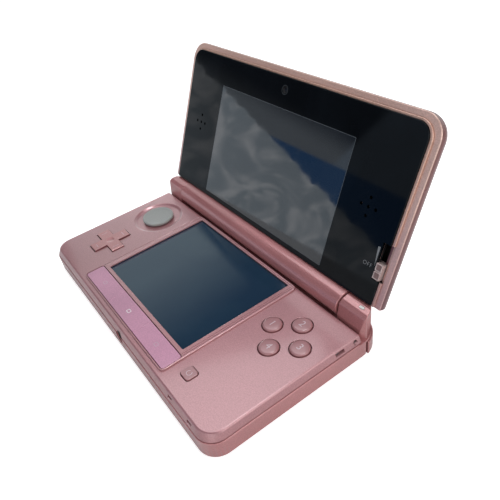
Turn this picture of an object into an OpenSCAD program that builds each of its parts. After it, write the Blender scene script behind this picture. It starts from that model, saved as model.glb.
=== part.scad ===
// Clamshell handheld game console, open at its rest angle.
// +X is the player's right, +Y runs from the front edge to the hinge, +Z is up.
// The origin is on the underside, below the middle of the touch screen.

/* [Base case] */
// Width of the lower case
case_w = 134; // [131:0.5:138]
// Base ahead of the raised bezel
front_land = 3.2; // [3:0.1:4]
// Face behind the raised bezel
back_land = 0.5; // [0.4:0.05:0.8]
// Plan radius of the front corners
front_corner_r = 7; // [6:0.25:8]
// Plan radius of the back corners
back_corner_r = 10.5; // [9.5:0.25:11]
// Height of the lower case's side wall
rim_z = 9; // [8.9:0.05:9.1]
// Height of the face above the lower case's side wall
face_rise = 3; // [2.95:0.05:3.1]
// Rounding under the lower case
belly_round = 2.2; // [1.8:0.1:2.4]
// Wall of both base cases
case_wall = 1.5; // [1.3:0.05:1.6]
// Shadow groove between the two base cases
seam = 0.35; // [0.3:0.05:0.5]
// Thickness of the face
face_t = 1; // [0.9:0.05:1.1]
// Slope of the upper case's side walls, from groove to face
face_slope = 1.6; // [1.2:0.1:2]
// Step inwards from the lower case to the upper case
case_step = 0.4; // [0.3:0.05:0.6]
// Thickness of the battery cover
cover_t = 1.2; // [1:0.05:1.3]
// Thickness of the inner floor
floor_t = 1.05; // [1:0.05:1.2]

/* [Hinge] */
// Hinge axis behind the face
axis_back = 5.4; // [5.3:0.05:5.6]
// Hinge axis above the face
axis_rise = 2.3; // [2.2:0.05:2.5]
// Angle between the closed lid and the open lid
open_angle = 113.2; // [100:0.1:130]
// Radius of the lid's centre barrel
barrel_r = 5; // [4.9:0.05:5.05]
// Gap between the barrel and each tower
barrel_gap = 0.5; // [0.3:0.05:0.8]
// Width of each tower
tower_w = 12.2; // [11.5:0.1:13]
// Radius of the towers, where the lid sweeps round them
tower_r = 4.75; // [4.6:0.05:4.8]
// Base behind the hinge axis
axis_to_back = 4.9; // [4.9:0.05:5.2]
// Radius of a hinge pin
pin_r = 2; // [1.8:0.05:2.2]
// Running clearance of a pin in its bore, on the radius
pin_fit = 0.06; // [0.03:0.01:0.09]
// Length of a pin inside the barrel
pin_reach = 6; // [5:0.5:8]
// Length of a pin inside the tower
pin_root = 8; // [6:0.5:9]

/* [Lid] */
// Gap between the closed panel and the face
lid_gap = 1.1; // [1.05:0.05:1.3]
// Thickness of the lid
lid_t = 7.9; // [7.7:0.1:8.3]
// Step back of the lid's far edge from the base's front edge
lid_shy = 0.2; // [0:0.1:0.6]
// Clearance between the lid and the towers
tower_clear = 0.25; // [0.2:0.05:0.35]
// Plan radius of the lid's far corners
lid_corner_r = 7.5; // [7:0.25:8]
// Rounding of the lid's back
lid_round = 5.5; // [5:0.25:5.6]
// Wall of the lid cover
lid_wall = 1.3; // [1.2:0.05:1.4]
// Lid cover beside the inner frame
frame_side = 2.2; // [2:0.05:2.6]
// Lid cover beyond the inner frame's far edge
frame_far = 2; // [1.8:0.1:2.4]
// Step from the glossy panel back to the inner frame
panel_proud = 0.5; // [0.4:0.05:0.6]
// Inner frame beside the glossy panel
panel_side = 1; // [0.8:0.05:1.2]
// Inner frame beyond the glossy panel's far edge
panel_far = 0.8; // [0.7:0.05:1]
// Inner frame between the panel and the hinge
panel_foot = 0.2; // [0.15:0.05:0.4]
// Plan radius of the glossy panel's far corners
panel_corner_r = 5; // [4.5:0.25:5.5]
// Thickness of the glossy panel
panel_t = 1; // [0.9:0.05:1.1]

/* [Screens] */
// Width of the upper screen
upper_screen_w = 76.8; // [74:0.2:78]
// Height of the upper screen
upper_screen_h = 46.1; // [44:0.1:47]
// Width of the touch screen's opening
touch_w = 62; // [60:0.2:63]
// Depth of the touch screen's opening
touch_d = 46.6; // [45:0.2:47]
// Bezel beside the touch screen
bezel_side = 3.3; // [3.1:0.05:3.6]
// Bezel behind the touch screen
bezel_behind = 1.4; // [1.2:0.05:1.6]
// Bezel ahead of the key strip
bezel_ahead = 0.8; // [0.7:0.05:1]
// Height of the bezel above the face
bezel_h = 0.7; // [0.6:0.05:0.75]
// Plan radius of the bezel's corners
bezel_corner_r = 1.8; // [1.5:0.1:2]
// Thickness of the touch glass
glass_t = 0.8; // [0.7:0.05:0.8]
// Drop of the touch glass below the face
glass_drop = 0.3; // [0.25:0.05:0.3]

/* [Buttons] */
// Radius of a face button
button_r = 3.65; // [3.5:0.05:3.75]
// Distance of a face button from the middle of the four
button_pitch = 7.35; // [7.2:0.05:7.5]
// Middle of the four face buttons, ahead of the face's back edge
buttons_ahead = 18.5; // [17.5:0.1:19]
// Gap round a button
button_gap = 0.25; // [0.2:0.05:0.3]
// Height of a button above the face
button_proud = 0.8; // [0.6:0.05:0.85]
// Travel of a face button
button_travel = 0.5; // [0.4:0.05:0.5]
// Middle of the direction pad, behind the front edge
dpad_behind = 22; // [21.5:0.1:22.5]
// Width of one arm of the direction pad
dpad_arm = 5.6; // [5.2:0.1:6]
// Length of the direction pad over both arms
dpad_span = 17.4; // [17:0.1:17.8]
// Height of the direction pad above the face
dpad_proud = 0.6; // [0.5:0.05:0.65]
// Bar between the touch screen and the key strip
strip_bar = 1.8; // [1.6:0.05:2]
// Depth of the key strip
strip_d = 7.9; // [7.6:0.1:8]
// Bezel beside the key strip
strip_side = 0.7; // [0.6:0.05:0.9]
// Gap between the keys of the strip
strip_gap = 0.25; // [0.2:0.05:0.3]
// Side of the square power button
power_side = 4.8; // [4.4:0.1:5]
// Middle of the power button, beside the bezel
power_beside = 6.7; // [6:0.1:7.5]
// Middle of the power button, behind the front edge
power_behind = 10.3; // [9.5:0.1:11]
// Height of the power button above the deck
power_rise = 0.5; // [0.3:0.05:0.6]

/* [Circle pad] */
// Middle of the circle pad, ahead of the face's back edge
pad_ahead = 15; // [14.6:0.1:15.2]
// Radius of the cap
pad_r = 7.25; // [7:0.05:7.5]
// Radius of the dish round the cap
dish_r = 11.5; // [11.2:0.1:11.8]
// Depth of the dish
dish_depth = 1; // [0.9:0.05:1]
// Slide of the cap each way
pad_travel = 2.2; // [2:0.05:2.4]
// Radius of the cap's stem
stem_r = 2.4; // [2.2:0.05:2.6]

/* [Shoulder buttons] */
// Length of a shoulder button along the back
shoulder_len = 23.4; // [22:0.1:24]
// Reach of a shoulder button round the corner, ahead of the back
shoulder_wrap = 7.7; // [7:0.1:8]
// Thickness of a shoulder button
shoulder_t = 3.2; // [3:0.1:3.4]
// Underside of a shoulder button
shoulder_low = 1.5; // [1.4:0.05:1.7]
// Gap round a shoulder button
shoulder_gap = 0.35; // [0.3:0.05:0.4]
// Gap ahead of a shoulder button, which it swings into
shoulder_front_gap = 0.9; // [0.85:0.05:1.1]
// Bulge of a shoulder button beyond the case
shoulder_proud = 0.4; // [0.3:0.05:0.5]

/* [Inside the base] */
// Width of the battery
battery_w = 40; // [36:0.5:44]
// Depth of the battery
battery_d = 33; // [30:0.5:34]
// Thickness of the battery
battery_t = 5; // [4.8:0.1:5.2]
// Thickness of the main board
board_t = 0.8; // [0.7:0.05:0.9]
// Thickness of the lower display
lower_lcd_t = 1.8; // [1.6:0.05:1.85]
// Radius of the headphone jack's bore
jack_r = 1.75; // [1.7:0.01:1.8]
// Depth of the headphone jack
jack_depth = 14; // [13:0.5:14.5]
// Middle of the headphone jack, to the right
jack_x = 5; // [4:0.25:7]
// Width of a game card
card_w = 33; // [32:0.2:33.4]
// Thickness of a game card
card_t = 3.8; // [3.6:0.05:3.8]
// Width of a memory card
sd_w = 24; // [23.8:0.1:24.4]
// Thickness of a memory card
sd_t = 2.1; // [2:0.05:2.2]
// Radius of the stylus
stylus_r = 2.2; // [2:0.05:2.3]
// Length of the stylus
stylus_len = 58; // [52:0.5:60]
// Wall between the game card slot and the stylus's tunnel
stylus_beside = 10.9; // [10:0.1:12]

/* [Lid fittings] */
// Spacing of the speaker holes
speaker_pitch = 3.1; // [2.8:0.05:3.3]
// Radius of a speaker hole
speaker_hole_r = 0.6; // [0.5:0.05:0.7]
// Speakers, above the upper screen's middle
speaker_u = 4.6; // [4:0.1:6]
// Radius of an outer camera's window
outer_lens_r = 3.1; // [2.8:0.1:3.3]
// Distance between the two outer cameras
outer_lens_gap = 35; // [32:0.5:38]
// Length of the depth slider's knob
slider_len = 5.5; // [5:0.1:6]
// Width of the depth slider's knob
slider_w = 2.6; // [2.4:0.1:2.8]
// Travel of the depth slider
slider_travel = 6.6; // [6:0.1:7]
// Bottom of the depth slider's slot, below the upper screen's middle
slot_below = 16.4; // [16:0.1:16.8]

/* [Hidden] */
$fn = 48;
hull_fn = 32;
ball_fn = 96;

// Finishes
rose = [0.75, 0.55, 0.58];
mauve = [0.72, 0.55, 0.62];
deep_rose = [0.70, 0.45, 0.48];
ink = [0.05, 0.05, 0.06];
slate = [0.13, 0.16, 0.22];
grey = [0.62, 0.60, 0.62];
steel = [0.70, 0.70, 0.72];
circuit = [0.10, 0.30, 0.18];
dark_rubber = [0.30, 0.30, 0.33];
cell_wrap = [0.35, 0.36, 0.40];
smoke = [0.15, 0.05, 0.07];
clear = [0.85, 0.90, 0.88];

// Clearances
skin = 0.1;            // between pieces that are seated on each other
slack = 0.25;          // round a small moving piece
tiny = 0.01;
past = 1;              // how far a cut runs past what it cuts

// Plan of the base, built out from the touch screen
case_half = case_w / 2;
bezel_half = touch_w / 2 + bezel_side;
bezel_back = touch_d / 2 + bezel_behind;
strip_back = touch_d / 2 + strip_bar;
strip_front = strip_back + strip_d;
strip_mid = strip_front - strip_d / 2;
strip_w = 2 * (bezel_half - strip_side);
bezel_front = strip_front + bezel_ahead;
case_front = bezel_front + front_land;
face_back = bezel_back + back_land;
hinge_y = face_back + axis_back;
case_back = hinge_y + axis_to_back;
upper_half = case_half - case_step;
upper_front = case_front - case_step;
upper_corner_r = front_corner_r - case_step;
upper_back_r = 1;
face_half = upper_half - face_slope;
tongue_in = case_wall + skin;
tongue_t = 1;
cavity_in = tongue_in + tongue_t;       // hollow of the upper case, in from the base's outline

// Heights of the base
face_z = rim_z + face_rise;
face_under = face_z - face_t;
upper_low = rim_z + seam;
hinge_z = face_z + axis_rise;
barrel_drop = 0.7;                      // clearance under the barrel
rear_deck_z = hinge_z - barrel_r - barrel_drop;
rear_deck_t = 0.9;
floor_z = cover_t + 0.15;
floor_top = floor_z + floor_t;
glass_top = face_z - glass_drop;
glass_low = glass_top - glass_t;
lcd_top = glass_low - skin;
lcd_low = lcd_top - lower_lcd_t;
board_top = lcd_low - 2 * skin;
board_low = board_top - board_t;
battery_z = cover_t + skin;
bezel_top = face_z + bezel_h;
key_flange_t = 0.5;
key_flange_low = face_under - 0.8;      // underside of the pads' and buttons' flanges

// Battery cover
cover_half = case_half - 6;
cover_front = case_front - 4;
cover_back = face_back - 0.4;
cover_r = 3;

// Pads and buttons, midway between the bezel and the face's edge
side_mid = (bezel_half + face_half) / 2;
buttons_x = side_mid;
buttons_y = face_back - buttons_ahead;
pad_x = side_mid;
pad_y = face_back - pad_ahead;
dpad_x = side_mid - 0.35;
dpad_y = case_front - dpad_behind;
dpad_low = key_flange_low;
dpad_dome_out = 6;
power_x = bezel_half + power_beside;
power_y = case_front - power_behind;
power_corner_r = 1.2;
key_corner_r = 1.15;
carriage_low = 8.1;
carriage_top = 9;
pad_house_low = 7;
pad_house_w = 22;
pad_house_d = 15;
pad_house_wall = 0.8;
peg_r = 1.1;

// Hinge towers, shoulder buttons and the bay between them
tower_out = case_half - 0.7;
tower_in = tower_out - tower_w;
tower_cut = 2.2;                        // corner taken off the front of a tower
barrel_half = tower_in - barrel_gap;
barrel_core_r = 1.4;
shoulder_in = case_half - shoulder_len;
shoulder_front = case_back - shoulder_wrap;
shoulder_high = rear_deck_z - rear_deck_t - 0.5;
shoulder_room = 1.9;                    // pocket behind a shoulder button
shoulder_pin_r = 0.8;
shoulder_pin_x = shoulder_in + 2.2;
shoulder_pin_y = case_back - 1.9;
shoulder_pin_low = 0.5;
shoulder_pin_top = rear_deck_z - 0.4;
shoulder_eye_r = 1.8;
bay_half = shoulder_in - 2.4;

// Lid, worked out as if closed and then swung open
lid_plane_z = face_z + lid_gap;
closed_h = lid_plane_z + lid_t;
lid_front = case_front - lid_shy;
lid_end = hinge_y - tower_r - tower_clear;
lid_rim_z = lid_plane_z + 1.2;
lid_side_z = closed_h - lid_round;
lid_roof_z = closed_h - lid_wall - skin;
lid_frame_z = lid_plane_z + panel_proud;
lid_frame_top = lid_plane_z + 2.1;
panel_top = lid_plane_z + panel_t;
lid_hollow_in = lid_wall + 2.9;         // in from the lid's outline, inside the rounding
lid_hollow_half = case_half - lid_hollow_in;
frame_half = case_half - frame_side;
frame_front = lid_front - frame_far;
panel_half = frame_half - panel_side;
upper_lcd_w = upper_screen_w + 4;
upper_lcd_h = upper_screen_h + 2;
upper_lcd_t = 2.6;
panel_below = upper_lcd_h / 2 + 1.15;   // panel below the upper screen's middle
panel_back_y = lid_end - panel_foot;
panel_front_y = panel_far - frame_front;
screen_mid = panel_back_y - panel_below;
neck_half = barrel_half;
speaker_x = (upper_lcd_w / 2 + lid_hollow_half) / 2 - 0.5;
speaker_w = 13;
speaker_h = 19;
speaker_t = 2.9;
speaker_window = 8.4;
camera_u = (upper_lcd_h / 2 + screen_mid - panel_front_y) / 2 + 0.6;
camera_r = 1.1;
camera_body_r = 2.4;
outer_lens_y = screen_mid - camera_u + 1;
slider_x = panel_half - 1.4;
slider_end = screen_mid + slot_below;   // hinge end of the slider's slot
slot_len = slider_len + slider_travel + 0.9;
slider_foot = 0.9;
lid_screw_x = frame_half - 7.2;
lid_screw_front = frame_front - 7.3;
lid_screw_back = lid_end - 7.6;
lid_head_t = 0.65;
lid_head_top = panel_top + 0.75;

// Screws, feet and posts
screw_head_r = 1.9;
screw_shank_r = 0.8;
boss_r = 2.3;
case_screw_x = case_half - 8.2;
case_screw_front = case_front - 6.2;
case_screw_back = face_back - 3.9;
case_head_low = cover_t + skin;
case_head_t = 0.8;
case_head_top = case_head_low + case_head_t;
cover_screw_x = cover_half - 12;
cover_screw_y = cover_back - 3.8;
cover_head_low = skin;
cover_head_t = 0.7;
foot_r = 3;
foot_x = cover_half - 7;
foot_front = cover_front - 6;
foot_back = cover_back - 12.8;
foot_t = 0.7;
board_half = case_screw_x - boss_r - 0.7;
board_front = case_front - 4.4;
board_back = face_back - 3;
post_r = 1.4;
post_x = board_half - 2.8;
post_front = case_front - 7;
post_mid = face_back - 21.2;
post_back = face_back - 5.5;
post_card_x = card_w / 2 + 7.5;

// Jack, cards, ports and stylus
jack_z = board_low - skin;
jack_wall = 0.75;
jack_out_r = jack_r + jack_wall;
jack_front = case_front - 0.6;
jack_end = jack_front - jack_depth - jack_wall;
card_fit = 0.1;
card_wall = 0.5;
card_depth = 31;
card_front = case_back - case_wall - card_depth;
card_slot_low = floor_top + 2 * skin;
card_low = card_slot_low + card_wall;
card_high = card_low + card_t + 2 * card_fit;
card_slot_half = card_w / 2 + card_fit;
sd_fit = 0.15;
sd_wall = 0.7;
sd_depth = 23;
sd_y = 0;
sd_low = floor_top + 1.2;
sd_high = sd_low + sd_t + 2 * sd_fit;
sd_end = case_half - case_wall - sd_depth;
sd_half = sd_w / 2 + sd_fit;
sd_door_half = 13.5;
sd_door_low = floor_top + 0.8;
sd_door_high = sd_door_low + 3.7;
sd_door_t = 1.1;
sd_stud_r = 0.3;
sd_stud_len = 0.6;
sd_stud_x = case_half - 0.45;
sd_stud_z = sd_door_low + 0.35;
battery_x = -sd_end + 4.3 + battery_w / 2;
battery_y = card_front - card_wall - 0.4 - battery_d / 2;
chip_w = 23;
chip_d = 19;
chip_x = 3.5;
chip_t = 0.95;
wifi_side = 14;
wifi_t = 1.4;
wifi_right = board_half - 5.8;
wifi_front = case_front - 11;
port_low = floor_top + 0.5;
port_w = 9;
port_h = 4;
port_depth = 9;
port_wall = 0.8;
infrared_w = 6;
infrared_h = 3.4;
infrared_x = -(card_w / 2 + 5.3);
port_x = infrared_x - 9;
stylus_wall = 0.8;
stylus_fit = 0.08;
stylus_x = card_slot_half + card_wall + stylus_beside + stylus_wall + stylus_r;
stylus_z = floor_top + stylus_r + 2 * skin;
stylus_inner = case_back - stylus_len + 1;
stylus_cap_r = stylus_r + 0.35;
stylus_tip = 2.6;

// Side switches, lights and microphone
switch_z = 10.15;
switch_h = 0.9;
switch_inner = case_half - cavity_in;
switch_tip = upper_half - 0.75;
switch_plate = 0.9;
switch_play = 0.15;
wireless_y = face_back - 11.1;
wireless_len = 1.6;
wireless_travel = 1.7;
volume_y = face_back - 19.2;
volume_len = 4;
volume_travel = 7.5;
led_y = face_back - 2.6;
led_z = switch_z + 0.3;
led_r = 0.8;
front_leds = [case_half - 23.2, case_half - 11.1];
front_led_w = 2.4;
front_led_low = switch_z - skin;
front_led_d = 1.85;
hinge_light_x = tower_out - 4.3;
hinge_light_y = hinge_y - 0.9;
hinge_light_w = 1.9;
hinge_light_d = 1;
mic_x = strip_w / 2 - 5;
mic_y = strip_front - 5;
mic_r = 2;

// Plan outline with its own front and back corner radii
module plan(half, front, back, r_front, r_back) {
    translate([-(half - r_front), -front]) square([2 * (half - r_front), front + tiny]);
    translate([-half, -(front - r_front)]) square([2 * half, front - r_front + tiny]);
    translate([-(half - r_back), 0]) square([2 * (half - r_back), back]);
    translate([-half, 0]) square([2 * half, back - r_back]);
    for (side = [-1, 1]) {
        translate([side * (half - r_front), -(front - r_front)]) circle(r_front);
        translate([side * (half - r_back), back - r_back]) circle(r_back);
    }
}

// One thin slice of a rounded shell, for a hull
module slice(z, half, front, back, r_front, r_back) {
    translate([0, 0, z]) linear_extrude(tiny) plan(half, front, back, r_front, r_back, $fn = hull_fn);
}

// A box from one corner to the other
module block(low, high) {
    translate(low) cube(high - low);
}

// A plate with rounded corners, centred on x and y
module rounded_plate(w, d, r, low, high) {
    translate([0, 0, low]) linear_extrude(high - low) {
        square([w - 2 * r, d], center = true);
        square([w, d - 2 * r], center = true);
        for (sx = [-1, 1], sy = [-1, 1])
            translate([sx * (w / 2 - r), sy * (d / 2 - r)]) circle(r);
    }
}

// A cylinder lying along Y
module rod_y(r, from, to) {
    translate([0, from, 0]) rotate([-90, 0, 0]) cylinder(r = r, h = to - from);
}

// A cylinder lying along X
module rod_x(r, from, to) {
    translate([from, 0, 0]) rotate([0, 90, 0]) cylinder(r = r, h = to - from);
}

// Radius of the ball whose cap has this rise over this rim
function cap_ball_r(rim, rise) = (pow(rim, 2) + pow(rise, 2)) / (2 * rise);

// Children on the right side, or mirrored to the left
module on_side(side) {
    mirror([side > 0 ? 0 : 1, 0, 0]) children();
}

// Children at the four case screws
module at_case_screws() {
    for (side = [-1, 1], y = [-case_screw_front, case_screw_back])
        translate([side * case_screw_x, y, 0]) children();
}

// Children at the two screws of the battery cover
module at_cover_screws() {
    for (side = [-1, 1]) translate([side * cover_screw_x, cover_screw_y, 0]) children();
}

// Children at the four feet
module at_feet() {
    for (side = [-1, 1], y = [-foot_front, foot_back]) translate([side * foot_x, y, 0]) children();
}

// Children at the four screws of the lid, before it is swung open
module at_lid_screws() {
    for (side = [-1, 1], y = [-lid_screw_front, lid_screw_back])
        translate([side * lid_screw_x, y, 0]) children();
}

// Children at the four face buttons
module at_face_buttons() {
    for (a = [0, 90, 180, 270]) translate([buttons_x, buttons_y, 0]) rotate([0, 0, a])
        translate([button_pitch, 0, 0]) children();
}

// Children swung open about the hinge axis
module open_lid() {
    translate([0, hinge_y, hinge_z]) rotate([-open_angle, 0, 0]) translate([0, -hinge_y, -hinge_z])
        children();
}

// Plan of the key strip, grown by a gap
module strip_slab(gap, r, low, high) {
    translate([0, -strip_mid, 0]) rounded_plate(strip_w + 2 * gap, strip_d + 2 * gap, r, low, high);
}

// ---------------------------------------------------------------- lower case

// Section of a hinge tower: front face leaning back, a bevel, a flatter top, then a round back,
// all inside the circle that the lid's end sweeps
function on_tower(a) = [hinge_y - tower_r * cos(a), hinge_z + tower_r * sin(a)];
module tower_section() {
    back = case_back - skin;
    polygon(concat(
        [[face_back + seam, rear_deck_z - rear_deck_t]],
        [for (a = [-13, 39.5, 62, 90]) on_tower(a)],
        [for (a = [105:15:180]) on_tower(a)],
        [[back, rear_deck_z], [back, rear_deck_z - rear_deck_t]]
    ));
}

module tower(side) {
    intersection() {
        rotate([90, 0, 90]) translate([0, 0, side > 0 ? tower_in : -tower_out])
            linear_extrude(tower_out - tower_in) tower_section();
        linear_extrude(closed_h) intersection() {
            plan(tower_out, case_front, case_back, front_corner_r,
                 back_corner_r - (case_half - tower_out));
            mirror([side > 0 ? 0 : 1, 0]) polygon([
                [tower_in - past, face_back], [tower_out - tower_cut, face_back],
                [tower_out + past, face_back + tower_cut + past],
                [tower_out + past, case_back + past], [tower_in - past, case_back + past],
            ]);
        }
    }
}

// Plan of a shoulder button's strip, grown by its gaps and to a thickness
module shoulder_plan(side, gap, front_gap, thickness, proud) {
    intersection() {
        difference() {
            plan(case_half + proud, case_front, case_back + proud, front_corner_r, back_corner_r);
            plan(case_half - thickness, case_front, case_back - thickness,
                 front_corner_r, back_corner_r - thickness);
        }
        translate([side > 0 ? shoulder_in - gap : -(case_half + past), shoulder_front - front_gap])
            square([case_half + past - shoulder_in + gap, case_back]);
    }
}

// Outside of the lower case, rounded underneath
module lower_outline() {
    hull() {
        slice(0, case_half - belly_round, case_front - belly_round,
              case_back - belly_round, front_corner_r - 1.5, back_corner_r - 1.5);
        slice(0.3 * belly_round, case_half - 0.4 * belly_round,
              case_front - 0.4 * belly_round, case_back - 0.4 * belly_round,
              front_corner_r - 0.5, back_corner_r - 0.5);
        slice(belly_round, case_half, case_front, case_back, front_corner_r, back_corner_r);
    }
    translate([0, 0, belly_round]) linear_extrude(rim_z - belly_round)
        plan(case_half, case_front, case_back, front_corner_r, back_corner_r);
}

module lower_case() color(rose) difference() {
    union() {
        difference() {
            lower_outline();
            // open top ahead of the hinge deck
            translate([0, 0, floor_top]) linear_extrude(rim_z)
                plan(case_half - case_wall, case_front - case_wall, face_back - case_wall + skin,
                     front_corner_r - case_wall, upper_back_r);
            // rear bay under the hinge deck
            block([-bay_half, face_back - 2 * case_wall, floor_top],
                  [bay_half, case_back - case_wall, rear_deck_z - rear_deck_t]);
            // the deck drops below the barrel, and the upper case's skirt fits ahead of it
            block([-case_half - past, face_back - case_wall, rear_deck_z],
                  [case_half + past, case_back + past, rim_z + past]);
        }
        for (side = [-1, 1]) tower(side);
        // posts that carry the board and the case screws
        at_case_screws() translate([0, 0, floor_top - tiny])
            cylinder(r = boss_r, h = upper_low - skin - floor_top);
        for (p = [[post_x, -post_front], [-post_x, -post_front], [post_x, post_mid],
                  [post_card_x, -post_front], [post_card_x, post_mid],
                  [-post_card_x, post_back], [stylus_x + 9, post_back]])
            translate([p[0], p[1], floor_top - tiny]) cylinder(r = post_r, h = board_low - skin - floor_top);
        // tunnel round the stylus
        block([stylus_x - stylus_r - stylus_wall, stylus_inner - 2, floor_z],
              [stylus_x + stylus_r + stylus_wall, case_back - 1, stylus_z + stylus_r + stylus_wall]);
    }
    // recess for the battery cover, and the battery's bay through the floor
    translate([0, 0, -past]) linear_extrude(past + cover_t + skin)
        plan(cover_half, cover_front, cover_back, cover_r, cover_r);
    block([battery_x - battery_w / 2 - slack, battery_y - battery_d / 2 - slack, 0],
          [battery_x + battery_w / 2 + slack, battery_y + battery_d / 2 + slack,
           battery_z + battery_t]);
    // screw holes
    at_cover_screws() cylinder(r = screw_shank_r + skin, h = 2 * floor_top);
    at_case_screws() translate([0, 0, -past]) {
        cylinder(r = screw_shank_r + skin, h = upper_low + past);
        cylinder(r = screw_head_r + skin, h = past + case_head_top + tiny);
    }
    // headphone jack
    translate([jack_x, 0, jack_z])
        rod_y(jack_out_r + skin, -case_front - past, -case_front + 2 * case_wall);
    // mouth of the game card slot
    block([-card_slot_half, face_back, card_low], [card_slot_half, case_back + past, card_high]);
    // charging port and infrared window
    block([port_x - port_w / 2, case_back - 2 * case_wall, port_low],
          [port_x + port_w / 2, case_back + past, port_low + port_h]);
    block([infrared_x - infrared_w / 2 - skin, case_back - 2 * case_wall, port_low],
          [infrared_x + infrared_w / 2 + skin, case_back + past, port_low + infrared_h + 2 * skin]);
    // stylus bore, and the rebate of its cap
    translate([stylus_x, 0, stylus_z]) {
        rod_y(stylus_r + stylus_fit, stylus_inner, case_back + past);
        rod_y(stylus_cap_r + slack, case_back - 1.2, case_back + past);
    }
    // door and mouth of the memory card slot, with the sockets of the door's two studs
    block([-case_half - past, sd_y - sd_door_half - slack, sd_door_low - 3 * slack],
          [-case_half + 2 * case_wall, sd_y + sd_door_half + slack, sd_door_high + slack]);
    translate([-sd_stud_x, sd_y, sd_stud_z])
        rod_y(sd_stud_r + pin_fit, -sd_door_half - sd_stud_len - skin, sd_door_half + sd_stud_len + skin);
    // pockets of the shoulder buttons
    for (side = [-1, 1]) {
        translate([0, 0, shoulder_low - shoulder_gap])
            linear_extrude(shoulder_high - shoulder_low + 2 * shoulder_gap)
            shoulder_plan(side, shoulder_gap, shoulder_front_gap, shoulder_t + shoulder_room, past);
        translate([side * shoulder_pin_x, shoulder_pin_y, shoulder_pin_low - skin / 2])
            cylinder(r = shoulder_pin_r + skin / 2, h = shoulder_pin_top - shoulder_pin_low + skin);
    }
    // hinge pin sockets
    for (side = [-1, 1]) on_side(side) translate([0, hinge_y, hinge_z])
        rod_x(pin_r + skin / 2, tower_in - past, tower_in + pin_root);
    // light in the right tower
    translate([hinge_light_x, hinge_light_y, hinge_z + tower_r - 1.6])
        rounded_plate(hinge_light_w + 2 * skin, hinge_light_d + 2 * skin, 0.4, 0, 3);
}

// ---------------------------------------------------------------- upper case

module upper_case() color(mauve) difference() {
    union() {
        hull() {
            slice(upper_low, upper_half, upper_front, face_back, upper_corner_r, upper_back_r);
            slice(face_z - 0.5, face_half + 0.3, upper_front - face_slope + 0.3,
                  face_back, upper_corner_r - 0.6, upper_back_r);
            slice(face_z - tiny, face_half, upper_front - face_slope,
                  face_back - 0.4, upper_corner_r - 0.8, upper_back_r);
        }
        // skirt along the back, down to the hinge deck
        block([-upper_half + 2, face_back - 1.2, rear_deck_z + skin],
              [upper_half - 2, face_back - tiny, upper_low + 1]);
        // tongue inside the lower case's wall, clear of the screw bosses
        difference() {
            translate([0, 0, rim_z - tongue_t]) linear_extrude(seam + tongue_t + tiny)
                plan(case_half - tongue_in, case_front - tongue_in, face_back - tongue_in,
                     front_corner_r - tongue_in, upper_back_r);
            translate([0, 0, rim_z - tongue_t - past]) linear_extrude(closed_h)
                plan(case_half - cavity_in, case_front - cavity_in, face_back - cavity_in,
                     front_corner_r - cavity_in, upper_back_r);
            at_case_screws() translate([0, 0, floor_top])
                cylinder(r = boss_r + skin, h = upper_low - floor_top);
        }
    }
    // hollow under the face, with the dish's boss and the screw bosses left standing
    difference() {
        translate([0, 0, rim_z - tongue_t - past]) linear_extrude(face_under - rim_z + tongue_t + past)
            plan(case_half - cavity_in, case_front - cavity_in, face_back - cavity_in + skin / 2,
                 front_corner_r - cavity_in, upper_back_r);
        translate([-pad_x, pad_y, face_under - dish_depth])
            cylinder(r = dish_r + 0.8, h = face_t + dish_depth);
        at_case_screws() translate([0, 0, upper_low]) cylinder(r = boss_r, h = face_rise);
    }
    // dish and hole of the circle pad
    translate([-pad_x, pad_y, face_z - dish_depth])
        cylinder(r1 = dish_r - 1.6, r2 = dish_r, h = dish_depth + tiny);
    translate([-pad_x, pad_y, 0]) cylinder(r = stem_r + pad_travel * sqrt(2) + 0.3, h = closed_h);
    // windows of the touch screen and the key strip
    rounded_plate(touch_w + 3.2, touch_d + 2.2, 0.6, lcd_low - skin, face_z + past);
    strip_slab(slack, 1.4, face_under - past, face_z + past);
    // face buttons, direction pad and power button
    at_face_buttons() cylinder(r = button_r + button_gap, h = closed_h);
    translate([-dpad_x, -dpad_y, face_under - past]) linear_extrude(closed_h)
        dpad_plan(button_gap + 0.05);
    translate([power_x, -power_y, 0])
        rounded_plate(power_side + 2 * slack, power_side + 2 * slack, power_corner_r + skin,
                      face_under - past, face_z + past);
    // screws, jack, lights and side switches
    at_case_screws() cylinder(r = screw_shank_r + skin / 2, h = face_under - 2 * skin);
    translate([jack_x, 0, jack_z]) rod_y(jack_out_r + skin, -case_front - past, -jack_end + past);
    for (x = front_leds)
        block([x - front_led_w / 2 - skin, -case_front - past, front_led_low - skin],
              [x + front_led_w / 2 + skin, -case_front + 4, front_led_low + switch_h + skin]);
    block([switch_inner - past, wireless_y - slack, switch_z - switch_play],
          [case_half + past, wireless_y + wireless_len + wireless_travel + slack,
           switch_z + switch_h + switch_play]);
    block([-case_half - past, volume_y - slack, switch_z - switch_play],
          [-switch_inner + past, volume_y + volume_len + volume_travel + slack,
           switch_z + switch_h + switch_play]);
    translate([0, led_y, led_z]) rod_x(led_r + skin, case_half - 4, case_half + past);
}

module dpad_plan(gap) {
    square([dpad_span + 2 * gap, dpad_arm + 2 * gap], center = true);
    square([dpad_arm + 2 * gap, dpad_span + 2 * gap], center = true);
}

// ------------------------------------------------------- pieces of the base

module battery_cover() color(deep_rose) difference() {
    linear_extrude(cover_t)
        plan(cover_half - skin, cover_front - skin, cover_back - skin, cover_r - skin, cover_r - skin);
    at_cover_screws() translate([0, 0, -past]) {
        cylinder(r = screw_shank_r + skin, h = cover_t + 2 * past);
        cylinder(r = screw_head_r + skin, h = past + cover_head_low + cover_head_t);
    }
    at_feet() translate([0, 0, -past]) cylinder(r = foot_r + skin / 2, h = past + foot_t);
}

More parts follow.
